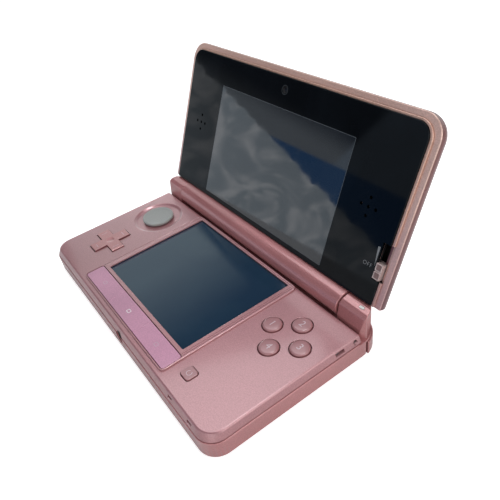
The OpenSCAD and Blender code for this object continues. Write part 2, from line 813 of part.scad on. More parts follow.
// A cross-head screw, head down
module screw(head_low, head_t, shank_top) {
    cross_half = 1.1;
    cross_w = 0.4;
    difference() {
        union() {
            translate([0, 0, head_low]) cylinder(r = screw_head_r, h = head_t);
            translate([0, 0, head_low]) cylinder(r = screw_shank_r, h = shank_top - head_low);
        }
        for (a = [0, 90]) rotate([0, 0, a])
            block([-cross_half, -cross_w / 2, head_low - past],
                  [cross_half, cross_w / 2, head_low + head_t / 2]);
    }
}

module cover_screws() color(steel)
    at_cover_screws() screw(cover_head_low, cover_head_t, floor_top + 0.6);

module case_screws() color(steel)
    at_case_screws() screw(case_head_low, case_head_t, rim_z + 1);

module rubber_feet() color(grey)
    at_feet() cylinder(r = foot_r, h = foot_t);

module battery() color(cell_wrap) translate([battery_x, battery_y, 0])
    rounded_plate(battery_w, battery_d, 1.2, battery_z, battery_z + battery_t);

// The main board, cut away round the circle pad's housing and the jack
module main_board() color(circuit) difference() {
    translate([0, 0, board_low]) linear_extrude(board_t)
        plan(board_half, board_front, board_back, 2, 2);
    block([-board_half - past, pad_y - pad_house_d / 2 - slack, board_low - past],
          [-pad_x + pad_house_w / 2 + slack, face_back, board_top + past]);
    block([jack_x - jack_out_r - slack, -case_front, board_low - past],
          [jack_x + jack_out_r + slack, -jack_end + slack, board_top + past]);
}

module chip_shield() color(steel)
    block([chip_x - chip_w / 2, card_front - card_wall - 0.5 - chip_d, board_low - chip_t],
          [chip_x + chip_w / 2, card_front - card_wall - 0.5, board_low]);

module game_card_slot() color(steel) difference() {
    block([-card_slot_half - card_wall, card_front - card_wall, card_slot_low],
          [card_slot_half + card_wall, case_back - case_wall - skin, card_high + card_wall]);
    block([-card_slot_half, card_front, card_low], [card_slot_half, case_back, card_high]);
}

module sd_card_slot() color(steel) difference() {
    block([-case_half + case_wall + skin, sd_y - sd_half - sd_wall, floor_top + skin],
          [-sd_end, sd_y + sd_half + sd_wall, sd_high + sd_wall]);
    block([-case_half, sd_y - sd_half, sd_low], [-sd_end - sd_wall, sd_y + sd_half, sd_high]);
}

module wifi_board() color(circuit)
    block([wifi_right - wifi_side, -wifi_front, board_low - wifi_t],
          [wifi_right, -wifi_front + wifi_side, board_low]);

module circle_pad_housing() color(ink) translate([-pad_x, pad_y, 0]) difference() {
    rounded_plate(pad_house_w, pad_house_d, 1, pad_house_low, carriage_top);
    rounded_plate(pad_house_w - 2 * pad_house_wall, pad_house_d - 2 * pad_house_wall, 0.4,
                  carriage_low - skin, carriage_top + past);
}

module screen_bezel() color(mauve) difference() {
    translate([0, 0, face_z]) linear_extrude(bezel_h)
        plan(bezel_half, bezel_front, bezel_back, bezel_corner_r, bezel_corner_r);
    rounded_plate(touch_w, touch_d, 0.5, face_z - past, bezel_top + past);
    strip_slab(slack, 1.4, face_z - past, bezel_top + past);
}

// Outline shared by the touch glass and the display under it
module display_slab(low, high) {
    rounded_plate(touch_w + 2.6, touch_d + 1.8, 0.5, low, high);
}

module touch_screen() color(slate) display_slab(glass_low, glass_top);

module lower_lcd() color(ink) difference() {
    display_slab(lcd_low, lcd_top);
    // notch over the headphone jack
    block([jack_x - jack_out_r - slack, -touch_d, lcd_low - past],
          [jack_x + jack_out_r + slack, -jack_end + slack, jack_z + jack_out_r + skin]);
}

module rubber_domes() color(dark_rubber) {
    button_dome_top = key_flange_low - button_travel - 2 * skin;
    at_face_buttons() translate([0, 0, board_top]) cylinder(r = 2.4, h = button_dome_top - board_top);
    for (a = [0, 90, 180, 270]) translate([-dpad_x, -dpad_y, board_top]) rotate([0, 0, a])
        translate([dpad_dome_out, 0, 0]) cylinder(r = 1.3, h = 0.5);
    translate([power_x, -power_y, board_top]) cylinder(r = 1.6, h = 1.2);
    for (i = [-1, 0, 1]) translate([i * strip_w / 3, -strip_mid, 0])
        block([-8.5, -1.6, board_top + 0.4], [jack_x - jack_out_r - 1, 1.6, board_top + 1.6]);
}

module headphone_jack() color(ink) translate([jack_x, 0, jack_z]) difference() {
    rod_y(jack_out_r, -jack_front, -jack_end);
    rod_y(jack_r, -jack_front - past, -jack_front + jack_depth);
}

module charging_port() color(ink) difference() {
    block([port_x - port_w / 2 + skin, case_back - 1 - port_depth, port_low + skin],
          [port_x + port_w / 2 - skin, case_back - port_wall, port_low + port_h - skin]);
    block([port_x - port_w / 2 + port_wall, case_back - port_depth, port_low + port_wall],
          [port_x + port_w / 2 - port_wall, case_back + past, port_low + port_h - port_wall]);
}

module infrared_window() color(smoke)
    block([infrared_x - infrared_w / 2, case_back - 3.2, port_low + skin],
          [infrared_x + infrared_w / 2, case_back - 0.15, port_low + infrared_h + skin]);

module light_pipes() color(clear) {
    for (x = front_leds)
        block([x - front_led_w / 2, -upper_front + 0.75, front_led_low],
              [x + front_led_w / 2, -upper_front + 0.75 + front_led_d, front_led_low + switch_h]);
    translate([0, led_y, led_z]) rod_x(led_r, switch_inner - 1, upper_half - 0.9);
}

module hinge_light() color(clear) translate([hinge_light_x, hinge_light_y, 0])
    rounded_plate(hinge_light_w, hinge_light_d, 0.4, hinge_z + tower_r - 1.5,
                  hinge_z + tower_r - 0.15);

module microphone() color(ink)
    translate([mic_x, -mic_y, board_top]) cylinder(r = mic_r, h = 0.9);

module hinge_pins() color(steel)
    for (side = [-1, 1]) on_side(side) translate([0, hinge_y, hinge_z])
        rod_x(pin_r, barrel_half - pin_reach, tower_in + pin_root - 0.3);

module shoulder_pins() color(steel)
    for (side = [-1, 1]) translate([side * shoulder_pin_x, shoulder_pin_y, shoulder_pin_low])
        cylinder(r = shoulder_pin_r, h = shoulder_pin_top - shoulder_pin_low);

// ---------------------------------------------------------------------- lid

// Section of the neck that runs on from the lid's back to the barrel
module neck_section() {
    barrel_top = hinge_z + barrel_r;
    polygon([
        [lid_end - 2, lid_rim_z + 1], [lid_end - 2, closed_h], [lid_end - tiny, closed_h],
        [lid_end + 2, closed_h - 0.5], [hinge_y - 0.6, barrel_top + 0.75],
        [hinge_y + 1.6, barrel_top], [hinge_y, hinge_z],
    ]);
}

module lid_cover() color(rose) open_lid() difference() {
    union() {
        difference() {
            hull() {
                for (z = [lid_rim_z, lid_side_z])
                    slice(z, case_half, lid_front, lid_end + 6, lid_corner_r, 1);
                for (a = [30, 60, 90]) {
                    round_in = lid_round * (1 - cos(a));
                    slice(lid_side_z + lid_round * sin(a) - tiny, case_half - round_in,
                          lid_front - round_in, lid_end + 6, lid_corner_r - 2 * (1 - cos(a)), 1);
                }
            }
            block([-case_half - past, lid_end, lid_rim_z - past],
                  [case_half + past, lid_end + 10, closed_h + past]);
        }
        rotate([90, 0, 90]) translate([0, 0, -neck_half]) linear_extrude(2 * neck_half) neck_section();
    }
    // hollow, with the screw bosses left standing
    difference() {
        translate([0, 0, lid_frame_top + skin]) linear_extrude(lid_roof_z - lid_frame_top - skin)
            plan(lid_hollow_half, lid_front - lid_hollow_in, lid_end - lid_wall, lid_corner_r - 2.5, 1);
        at_lid_screws() translate([0, 0, lid_frame_top]) cylinder(r = boss_r, h = lid_round);
    }
    at_lid_screws() translate([0, 0, lid_frame_top]) cylinder(r = screw_shank_r + skin, h = 2.2);
    // room for the depth slider's foot
    block([slider_x - slider_w / 2 - slider_foot - 0.3, slider_end - slot_len, lid_frame_top - past],
          [slider_x + slider_w / 2 + slack, slider_end, lid_frame_top + 1.4]);
    // seat of the inner frame
    translate([0, 0, lid_rim_z - past]) linear_extrude(past + lid_frame_top + skin - lid_rim_z)
        plan(frame_half + 0.4, frame_front + 0.4, lid_end + past, panel_corner_r + 1.4, 1);
    // seat of the barrel, and the towers' room at both ends of the neck
    translate([0, hinge_y, hinge_z]) rod_x(barrel_r + skin / 2, -case_half, case_half);
    // outer cameras
    for (side = [-1, 1]) translate([side * outer_lens_gap / 2, outer_lens_y, lid_roof_z - past])
        cylinder(r = outer_lens_r + skin, h = closed_h);
}

// Open notch of the depth slider in the panel and the frame's side
module lid_slot() {
    inner = slider_x - slider_w / 2 - slack;
    block([inner, slider_end - slot_len, lid_plane_z - past],
          [frame_half + past, slider_end, lid_frame_top - 0.5]);
    block([inner, slider_end - slot_len, lid_plane_z - past],
          [slider_x + slider_w / 2 + slack, slider_end, lid_frame_top + past]);
}

module lid_frame() color(deep_rose) open_lid() difference() {
    translate([0, 0, lid_frame_z]) linear_extrude(lid_frame_top - lid_frame_z)
        plan(frame_half, frame_front, lid_end, panel_corner_r + 1, 0.5);
    // seat of the panel
    translate([0, 0, lid_frame_z - past]) linear_extrude(past + panel_top + skin - lid_frame_z)
        plan(panel_half + skin, -panel_front_y + skin, panel_back_y + skin, panel_corner_r, 1);
    // windows
    translate([0, screen_mid, 0])
        rounded_plate(upper_lcd_w + 2 * slack, upper_lcd_h + 2 * slack, 0.5, lid_plane_z, closed_h);
    for (side = [-1, 1]) translate([side * speaker_x, screen_mid - speaker_u, 0])
        rounded_plate(speaker_window, speaker_window, 1, lid_plane_z, closed_h);
    translate([0, screen_mid - camera_u, 0]) cylinder(r = camera_r + 0.8, h = closed_h);
    // the barrel passes the frame's end
    translate([0, hinge_y, hinge_z]) rod_x(barrel_r + skin, -neck_half - 2 * skin, neck_half + 2 * skin);
    lid_slot();
    at_lid_screws() {
        cylinder(r = screw_shank_r + skin, h = closed_h);
        translate([0, 0, lid_plane_z])
            cylinder(r = screw_head_r + skin, h = lid_head_top - lid_plane_z + tiny);
    }
}

module lid_screws() color(steel) open_lid() at_lid_screws()
    screw(panel_top + skin / 2, lid_head_t, lid_head_top + 2.4);

module hinge_barrel() color(deep_rose) open_lid() translate([0, hinge_y, hinge_z]) difference() {
    rod_x(barrel_r, -barrel_half, barrel_half);
    for (side = [-1, 1]) on_side(side)
        rod_x(pin_r + pin_fit, barrel_half - pin_reach - 0.6, barrel_half + past);
    rod_x(barrel_core_r, -barrel_half + pin_reach, barrel_half - pin_reach);
}

module front_panel() color(ink) open_lid() difference() {
    translate([0, 0, lid_plane_z]) linear_extrude(panel_t)
        plan(panel_half, -panel_front_y, panel_back_y, panel_corner_r, 0.6);
    for (side = [-1, 1]) translate([side * speaker_x, screen_mid - speaker_u, 0]) {
        cylinder(r = speaker_hole_r, h = closed_h);
        for (a = [0, 90, 180, 270]) rotate([0, 0, a]) translate([speaker_pitch, 0, 0])
            cylinder(r = speaker_hole_r, h = closed_h);
    }
    translate([0, screen_mid - camera_u, 0]) cylinder(r = camera_r + 2 * skin, h = closed_h);
    lid_slot();
}

module upper_lcd() color(slate) open_lid() translate([0, screen_mid, 0])
    rounded_plate(upper_lcd_w, upper_lcd_h, 0.5, panel_top + skin, panel_top + skin + upper_lcd_t);

module speakers() color(dark_rubber) open_lid()
    for (side = [-1, 1]) translate([side * speaker_x, screen_mid - speaker_u, 0])
        rounded_plate(speaker_w, speaker_h, 2, lid_frame_top + skin, lid_frame_top + skin + speaker_t);

module inner_camera() color(ink) open_lid() translate([0, screen_mid - camera_u, 0]) {
    translate([0, 0, lid_plane_z + 0.3]) cylinder(r = camera_r, h = 4);
    translate([0, 0, lid_frame_top + 0.3]) cylinder(r = camera_body_r, h = 2);
}

module outer_cameras() color(ink) open_lid()
    for (side = [-1, 1]) translate([side * outer_lens_gap / 2, outer_lens_y, lid_frame_top + skin])
        cylinder(r = outer_lens_r, h = closed_h - 0.15 - lid_frame_top - skin);

// ------------------------------------------------------------ moving pieces

module depth_slider() color(grey) open_lid() translate([slider_x, slider_end - 0.45, 0]) {
    knob_low = lid_plane_z - 0.4;
    groove_w = 0.3;
    difference() {
        block([-slider_w / 2, -slider_len, knob_low], [slider_w / 2, 0, lid_frame_top + 0.4]);
        block([-slider_w, -(slider_len + groove_w) / 2, knob_low - past],
              [slider_w, -(slider_len - groove_w) / 2, lid_plane_z]);
    }
    block([-slider_w / 2 - slider_foot, -slider_len, lid_frame_top + 2 * skin],
          [slider_w / 2 - 0.6, 0, lid_frame_top + 1]);
}

module pad_carriage() color(dark_rubber) translate([-pad_x, pad_y, 0]) difference() {
    window_w = 2 * (peg_r + slack);
    rounded_plate(15, pad_house_d - 2 * pad_house_wall - 0.5, 0.5, carriage_low, carriage_top);
    rounded_plate(window_w, window_w + 2 * pad_travel, 0.6, carriage_low - past, carriage_top + past);
}

module pad_cap() color(grey) translate([-pad_x, pad_y, 0]) {
    cap_low = face_z - dish_depth + 0.5;
    cap_top = face_z + button_proud;
    rise = 0.55;
    bevel = 0.3;
    flange_low = carriage_top + 2 * skin;
    dish_ball = cap_ball_r(pad_r - 1, rise);
    difference() {
        union() {
            translate([0, 0, cap_low]) cylinder(r = pad_r, h = cap_top - cap_low - bevel);
            translate([0, 0, cap_top - bevel - tiny])
                cylinder(r1 = pad_r, r2 = pad_r - 0.35, h = bevel + tiny);
        }
        // hollow thumb dish
        translate([0, 0, cap_top - rise + dish_ball]) sphere(r = dish_ball, $fn = ball_fn);
    }
    translate([0, 0, flange_low]) {
        cylinder(r = 8.4, h = 0.6);
        cylinder(r = stem_r, h = cap_low - carriage_top);
    }
    translate([0, 0, carriage_low + skin]) cylinder(r = peg_r, h = 2);
}

module dpad_pivot() color(dark_rubber)
    translate([-dpad_x, -dpad_y, board_top + 0.15]) cylinder(r = 1.5, h = dpad_low - board_top - 0.35);

module direction_pad() color(deep_rose) translate([-dpad_x, -dpad_y, dpad_low]) difference() {
    dpad_h = face_z + dpad_proud - dpad_low;
    dish_ball = 8;
    linear_extrude(dpad_h) dpad_plan(0);
    translate([0, 0, dpad_h + dish_ball - 0.3]) sphere(r = dish_ball, $fn = ball_fn);
}

module face_button(angle) color(deep_rose) translate([buttons_x, buttons_y, 0]) rotate([0, 0, angle])
    translate([button_pitch, 0, 0]) {
        crown = 0.45;
        crown_ball = cap_ball_r(button_r, crown);
        top = face_z + button_proud;
        translate([0, 0, key_flange_low]) {
            cylinder(r = button_r, h = top - crown - key_flange_low);
            cylinder(r = button_r + 0.8, h = key_flange_t);
        }
        intersection() {
            translate([0, 0, top - crown_ball]) sphere(r = crown_ball, $fn = ball_fn);
            translate([0, 0, top - crown - tiny]) cylinder(r = button_r, h = 1);
        }
    }

module button_back() face_button(90);
module button_left() face_button(180);
module button_front() face_button(270);
module button_right() face_button(0);

module power_button() color(deep_rose) translate([power_x, -power_y, 0])
    rounded_plate(power_side, power_side, power_corner_r - skin, face_under - 0.4, face_z + power_rise);

module strip_key(i) color(mauve) intersection() {
    key_w = (strip_w - 2 * strip_gap) / 3;
    strip_slab(0, key_corner_r, face_under - 2 * skin, bezel_top - skin);
    block([i * (key_w + strip_gap) - key_w / 2, -strip_front - past, 0],
          [i * (key_w + strip_gap) + key_w / 2, 0, closed_h]);
}

module select_key() strip_key(-1);
module home_key() strip_key(0);
module start_key() strip_key(1);

module shoulder(side) color(deep_rose) difference() {
    union() {
        translate([0, 0, shoulder_low]) linear_extrude(shoulder_high - shoulder_low)
            shoulder_plan(side, 0, 0, shoulder_t, shoulder_proud);
        translate([side * shoulder_pin_x, shoulder_pin_y, shoulder_low])
            cylinder(r = shoulder_eye_r, h = shoulder_high - shoulder_low);
    }
    translate([side * shoulder_pin_x, shoulder_pin_y, 0])
        cylinder(r = shoulder_pin_r + pin_fit, h = closed_h);
}

module left_shoulder() shoulder(-1);
module right_shoulder() shoulder(1);

// A sliding switch: a plate inside the wall and a knob through it
module side_knob(side, y, len) color(grey) on_side(side) {
    lap = 0.8;
    block([switch_inner - switch_plate - 2 * skin, y - lap, switch_z - 0.35],
          [switch_inner - 2 * skin, y + len + lap, face_under - 2 * skin]);
    block([switch_inner - 3 * skin, y, switch_z], [switch_tip, y + len, switch_z + switch_h]);
}

module wireless_switch() side_knob(1, wireless_y, wireless_len);
module volume_slider() side_knob(-1, volume_y, volume_len);

// Door of the memory card slot, with a stud at each end and a nail notch
module sd_cover() color(deep_rose) {
    difference() {
        block([-case_half + skin / 2, sd_y - sd_door_half, sd_door_low],
              [-case_half + sd_door_t, sd_y + sd_door_half, sd_door_high]);
        block([-case_half - past, sd_y - 4, sd_door_high - 0.6],
              [-case_half + 0.5, sd_y + 4, sd_door_high + past]);
    }
    translate([-sd_stud_x, sd_y, sd_stud_z])
        rod_y(sd_stud_r, -sd_door_half - sd_stud_len, sd_door_half + sd_stud_len);
}

module stylus() color(ink) translate([stylus_x, 0, stylus_z]) {
    tip_start = stylus_inner + 0.6;
    rod_y(stylus_r, tip_start + stylus_tip, case_back + skin);
    translate([0, tip_start, 0]) rotate([-90, 0, 0]) cylinder(r1 = 0.5, r2 = 1.3, h = stylus_tip + tiny);
    rod_y(stylus_cap_r, case_back - 1, case_back + 0.3);
}

// Draw one node, or all of them
lower_case();
upper_case();
battery_cover();
cover_screws();
case_screws();
rubber_feet();
battery();
main_board();
chip_shield();
game_card_slot();
sd_card_slot();
wifi_board();
circle_pad_housing();
screen_bezel();
touch_screen();
lower_lcd();
rubber_domes();
headphone_jack();
charging_port();
infrared_window();
light_pipes();
hinge_light();
microphone();
hinge_pins();
shoulder_pins();
lid_cover();
lid_frame();
hinge_barrel();
front_panel();
upper_lcd();
speakers();
inner_camera();
outer_cameras();
lid_screws();
depth_slider();
pad_carriage();
pad_cap();
dpad_pivot();
direction_pad();
button_back();
button_left();
button_front();
button_right();
power_button();
select_key();
home_key();
start_key();
left_shoulder();
right_shoulder();
volume_slider();
wireless_switch();
sd_cover();
stylus();
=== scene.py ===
import math
import bpy
import bmesh
from mathutils import Matrix, Vector


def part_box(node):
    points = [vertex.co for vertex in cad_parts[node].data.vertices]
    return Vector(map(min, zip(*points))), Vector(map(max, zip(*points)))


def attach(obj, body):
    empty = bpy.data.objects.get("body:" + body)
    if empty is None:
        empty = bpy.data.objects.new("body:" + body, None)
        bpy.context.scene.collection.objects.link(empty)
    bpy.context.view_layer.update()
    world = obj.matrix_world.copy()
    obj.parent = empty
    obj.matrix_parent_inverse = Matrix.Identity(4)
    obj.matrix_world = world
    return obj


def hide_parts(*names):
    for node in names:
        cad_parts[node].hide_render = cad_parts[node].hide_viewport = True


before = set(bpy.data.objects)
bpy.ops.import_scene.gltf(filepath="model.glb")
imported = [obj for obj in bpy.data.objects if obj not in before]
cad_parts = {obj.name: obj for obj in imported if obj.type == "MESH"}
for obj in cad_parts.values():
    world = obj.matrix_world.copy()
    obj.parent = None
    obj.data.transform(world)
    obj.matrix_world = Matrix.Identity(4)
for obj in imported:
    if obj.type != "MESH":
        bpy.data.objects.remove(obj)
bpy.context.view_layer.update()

mm = 0.001

# ---- Stage -------------------------------------------------------------------
# A wide pale table that fades into a white room, so the console keeps its soft shadow
# and everything round it stays white.
table_width = 8
table_gap = 0.05 * mm
table_glow = 0.70
bpy.ops.object.select_all(action="DESELECT")
bpy.ops.mesh.primitive_plane_add(size=table_width, location=(0, 0, -table_gap))
table = bpy.context.object
table.name = "table"
table_white = bpy.data.materials.new("table_white")
table_white.use_nodes = True
nodes, links = table_white.node_tree.nodes, table_white.node_tree.links
nodes.clear()
out = nodes.new("ShaderNodeOutputMaterial")
matte = nodes.new("ShaderNodeBsdfDiffuse")
matte.inputs["Color"].default_value = (0.80, 0.80, 0.80, 1)
glow = nodes.new("ShaderNodeEmission")
glow.inputs["Color"].default_value = (1, 1, 1, 1)
ray = nodes.new("ShaderNodeLightPath")
lift = nodes.new("ShaderNodeMath")
lift.operation = "MULTIPLY"
lift.inputs[1].default_value = table_glow
both = nodes.new("ShaderNodeAddShader")
links.new(ray.outputs["Is Camera Ray"], lift.inputs[0])
links.new(lift.outputs[0], glow.inputs["Strength"])
links.new(matte.outputs[0], both.inputs[0])
links.new(glow.outputs[0], both.inputs[1])
links.new(both.outputs[0], out.inputs["Surface"])
table.data.materials.append(table_white)

# The room gives the paint an even light and looks white to the camera. Gloss mirrors a pale
# room that is dark overhead, except to the left, and in a narrow upright strip at the back.
room_light = 0.36
dark_room, pale_room = (0.08, 0.11, 0.15, 1), (0.86, 1.00, 1.00, 1)


def remap(tree, value, low, high, to_low=0.0, to_high=1.0):
    """Stretches a value that goes from low to high, so that it goes between two other numbers."""
    span = tree.nodes.new("ShaderNodeMapRange")
    for slot, number in (("From Min", low), ("From Max", high), ("To Min", to_low), ("To Max", to_high)):
        span.inputs[slot].default_value = number
    tree.links.new(value, span.inputs["Value"])
    return span.outputs["Result"]


room = bpy.data.worlds.new("room")
bpy.context.scene.world = room
room.use_nodes = True
nodes, links = room.node_tree.nodes, room.node_tree.links
nodes.clear()
out = nodes.new("ShaderNodeOutputWorld")
even = nodes.new("ShaderNodeBackground")
even.inputs["Color"].default_value = (0.93, 0.96, 1.0, 1)
even.inputs["Strength"].default_value = room_light
seen = nodes.new("ShaderNodeBackground")
seen.inputs["Color"].default_value = (1, 1, 1, 1)
seen.inputs["Strength"].default_value = 1.0
mirrored = nodes.new("ShaderNodeBackground")
mirrored.inputs["Strength"].default_value = 1.0
sky = nodes.new("ShaderNodeTexCoord")
leans = []
for slope, pale_until, dark_from in (((1, 0, 0.5), -0.45, -0.31), ((0, 0, 1), 0.600, 0.635),
                                     ((-0.32, 1, 0), 0.578, 0.588), ((0.32, -1, 0), -0.72, -0.66)):
    lean = nodes.new("ShaderNodeVectorMath")
    lean.operation = "DOT_PRODUCT"
    lean.inputs[1].default_value = slope
    links.new(sky.outputs["Generated"], lean.inputs[0])
    leans.append(remap(room.node_tree, lean.outputs["Value"], pale_until, dark_from, 1, 0))
for work, first, second in (("MAXIMUM", 0, 1), ("MAXIMUM", 2, 3), ("MULTIPLY", 4, 5)):
    lit = nodes.new("ShaderNodeMath")
    lit.operation = work
    links.new(leans[first], lit.inputs[0])
    links.new(leans[second], lit.inputs[1])
    leans.append(lit.outputs[0])
pane = nodes.new("ShaderNodeMix")
pane.data_type = "RGBA"
pane.inputs[6].default_value = dark_room
pane.inputs[7].default_value = pale_room
ray = nodes.new("ShaderNodeLightPath")
gloss_pick = nodes.new("ShaderNodeMixShader")
camera_pick = nodes.new("ShaderNodeMixShader")
links.new(lit.outputs[0], pane.inputs[0])
links.new(pane.outputs[2], mirrored.inputs["Color"])
links.new(ray.outputs["Is Glossy Ray"], gloss_pick.inputs[0])
links.new(even.outputs[0], gloss_pick.inputs[1])
links.new(mirrored.outputs[0], gloss_pick.inputs[2])
links.new(ray.outputs["Is Camera Ray"], camera_pick.inputs[0])
links.new(gloss_pick.outputs[0], camera_pick.inputs[1])
links.new(seen.outputs[0], camera_pick.inputs[2])
links.new(camera_pick.outputs[0], out.inputs["Surface"])


def soft_box(name, place, aim, size, watts, colour):
    """A square soft box that points at a place on the table."""
    lamp = bpy.data.objects.new(name, bpy.data.lights.new(name, "AREA"))
    bpy.context.scene.collection.objects.link(lamp)
    lamp.data.shape = "SQUARE"
    lamp.data.size = size
    lamp.data.energy = watts
    lamp.data.color = colour
    lamp.location = place
    lamp.rotation_euler = (Vector(place) - Vector(aim)).to_track_quat("Z", "Y").to_euler()
    return lamp


deck_middle, lid_foot = (0, 0, 0.02), (0, 0, 0.03)
soft_box("window_light", (-0.30, 0.12, 0.735), deck_middle, 0.42, 1.50, (0.97, 0.98, 1.0))
soft_box("ceiling_light", (0.25, 0.20, 0.80), deck_middle, 0.70, 1.0, (1.0, 0.98, 0.95))
soft_box("side_light", (0.76, 0.16, 0.44), lid_foot, 0.55, 2.8, (1.0, 0.97, 0.95))
soft_box("front_fill", (0.42, -0.56, 0.28), lid_foot, 0.60, 0.85, (1.0, 0.97, 0.96))
for glint in (soft_box("overhead_glint", (0.02, 0.17, 0.80), deck_middle, 0.20, 1.5, (1, 1, 1)),
              soft_box("left_glint", (-0.90, 0.34, 0.26), deck_middle, 0.14, 0.7, (1, 1, 1))):
    glint.visible_diffuse = False

# A hanging cloth to the front left, seen only in the gloss: pale below a slanting edge, a
# blue wedge beside it and a dim wall above.
card_width = 0.62
card_place = Vector((-252.8, -200.5, 0)) * mm
bpy.ops.object.select_all(action="DESELECT")
bpy.ops.mesh.primitive_plane_add(size=card_width)
cloth_card = bpy.context.object
cloth_card.name = "cloth_card"
aside, upward = Vector((0.6914, -0.7225, 0)), Vector((0, 0, 1))
card_stand = Matrix((aside, upward, aside.cross(upward))).transposed().to_4x4()
card_stand.translation = card_place
cloth_card.matrix_world = card_stand
for seen_by in ("visible_camera", "visible_diffuse", "visible_shadow", "visible_transmission"):
    setattr(cloth_card, seen_by, False)
cloth = bpy.data.materials.new("card_cloth")
cloth.use_nodes = True
nodes, links = cloth.node_tree.nodes, cloth.node_tree.links
nodes.clear()


def noise(tree, place, scale, detail, swirl=0.0):
    """Smooth noise over a place, broad or fine by its scale."""
    cloud = tree.nodes.new("ShaderNodeTexNoise")
    cloud.inputs["Scale"].default_value = scale
    cloud.inputs["Detail"].default_value = detail
    cloud.inputs["Distortion"].default_value = swirl
    tree.links.new(place, cloud.inputs["Vector"])
    return cloud.outputs["Fac"]


def add_math(work, first, second):
    """A Math node on two inputs, each a socket or a number."""
    step = nodes.new("ShaderNodeMath")
    step.operation = work
    for slot, value in zip(step.inputs, (first, second)):
        if isinstance(value, (int, float)):
            slot.default_value = value
        else:
            links.new(value, slot)
    return step.outputs[0]


def ramp(value, low, high, low_colour, high_colour):
    """A colour that changes softly from one to the other as a value goes from low to high."""
    share = remap(cloth.node_tree, value, low, high)
    share.node.interpolation_type = "SMOOTHSTEP"
    blend = nodes.new("ShaderNodeMix")
    blend.data_type = "RGBA"
    links.new(share, blend.inputs[0])
    for slot, colour in ((6, low_colour), (7, high_colour)):
        if isinstance(colour, tuple):
            blend.inputs[slot].default_value = (*colour, 1)
        else:
            links.new(colour, blend.inputs[slot])
    return blend.outputs[2]


where = nodes.new("ShaderNodeTexCoord")
parts = nodes.new("ShaderNodeSeparateXYZ")
links.new(where.outputs["Object"], parts.inputs[0])
folds = noise(cloth.node_tree, where.outputs["Object"], 20, 2, 2.6)
fold_depth, pale_slope, blue_slope, doorway_slope = 0.012, 0.29, 0.08, 0.3
over, height = parts.outputs["X"], parts.outputs["Y"]
wave = add_math("MULTIPLY", add_math("SUBTRACT", folds, 0.5), fold_depth)
straight_edge = add_math("ADD", height, add_math("MULTIPLY", over, pale_slope))
pale_edge = add_math("ADD", straight_edge, wave)
blue_edge = add_math("SUBTRACT", height, add_math("MULTIPLY", over, blue_slope))
wall = ramp(height, 0.095, 0.125, (0.32, 0.35, 0.38), (0.02, 0.02, 0.03))
doorway = add_math("SUBTRACT", over, add_math("MULTIPLY", height, doorway_slope))
wall = ramp(doorway, 0.028, 0.036, wall, (0.36, 0.44, 0.54))
beyond = ramp(blue_edge, 0.082, 0.084, (0.01, 0.13, 0.40), wall)
weave = ramp(folds, 0.38, 0.66, (0.66, 0.76, 0.84), (1.25, 1.30, 1.36))
shown = ramp(pale_edge, 0.0755, 0.0775, weave, beyond)
card_glow = nodes.new("ShaderNodeEmission")
links.new(shown, card_glow.inputs["Color"])
out = nodes.new("ShaderNodeOutputMaterial")
links.new(card_glow.outputs[0], out.inputs["Surface"])
cloth_card.data.materials.append(cloth)

# The lens stands to the player's right and above, a little rolled.
camera = bpy.data.objects.new("camera", bpy.data.cameras.new("camera"))
bpy.context.scene.collection.objects.link(camera)
right = Vector((0.5701, 0.8091, -0.1432))
up = Vector((-0.4585, 0.4579, 0.7617))
back = Vector((0.6818, -0.3686, 0.6319))
stand = Matrix((right, up, back)).transposed().to_4x4()
stand.translation = Vector((147.94, -59.70, 141.69)) * mm
camera.matrix_world = stand
camera.data.sensor_width = 36
camera.data.lens = 36.95
camera.data.shift_x = 0.0246
camera.data.shift_y = 0.0346
camera.data.clip_start = 0.01
bpy.context.scene.camera = camera
bpy.context.scene.view_settings.view_transform = "Standard"

# ---- Lower case --------------------------------------------------------------
# The tray of the base, moulded in ABS and sprayed with rose metallic lacquer. It carries
# the two hinge towers at its back corners.


def measured(node):
    """The low and high corners of a CAD node's box, in millimetres."""
    return [[round(value / mm, 3) for value in corner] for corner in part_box(node)]


def middle(node):
    """The middle of a CAD node's box, in millimetres."""
    return [round((low + high) / 2 / mm, 2) for low, high in zip(*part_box(node))]


def only(piece):
    """Selects one piece and nothing else."""
    bpy.ops.object.select_all(action="DESELECT")
    piece.select_set(True)
    bpy.context.view_layer.objects.active = piece


def merged(node, name):
    """A copy of a CAD node with its loose triangles joined and its flat faces made whole."""
    piece = bpy.data.objects.new(name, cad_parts[node].data.copy())
    piece.data.name = name
    piece.data.materials.clear()
    bpy.context.scene.collection.objects.link(piece)
    only(piece)
    bpy.ops.object.mode_set(mode="EDIT")
    bpy.ops.mesh.select_all(action="SELECT")
    bpy.ops.mesh.remove_doubles(threshold=0.002 * mm)
    bpy.ops.mesh.dissolve_limited(angle_limit=math.radians(0.4))
    bpy.ops.mesh.select_all(action="DESELECT")
    bpy.ops.object.mode_set(mode="OBJECT")
    return piece


def round_edges(piece, width, steps, wanted, sharper=25):
    """Bevels the sharp edges whose two ends are wanted. Places are in millimetres."""
    only(piece)
    bpy.ops.object.mode_set(mode="EDIT")
    bpy.ops.mesh.select_mode(type="EDGE")
    bpy.ops.mesh.select_all(action="DESELECT")
    shape = bmesh.from_edit_mesh(piece.data)
    for edge in shape.edges:
        if len(edge.link_faces) == 2 and edge.calc_face_angle(0) > math.radians(sharper):
            edge.select = all(wanted(*(end.co / mm)) for end in edge.verts)
    shape.select_flush_mode()
    bmesh.update_edit_mesh(piece.data)
    bpy.ops.mesh.bevel(offset=width * mm, segments=steps, profile=0.5, clamp_overlap=False, loop_slide=False)
    bpy.ops.mesh.select_all(action="DESELECT")
    bpy.ops.object.mode_set(mode="OBJECT")


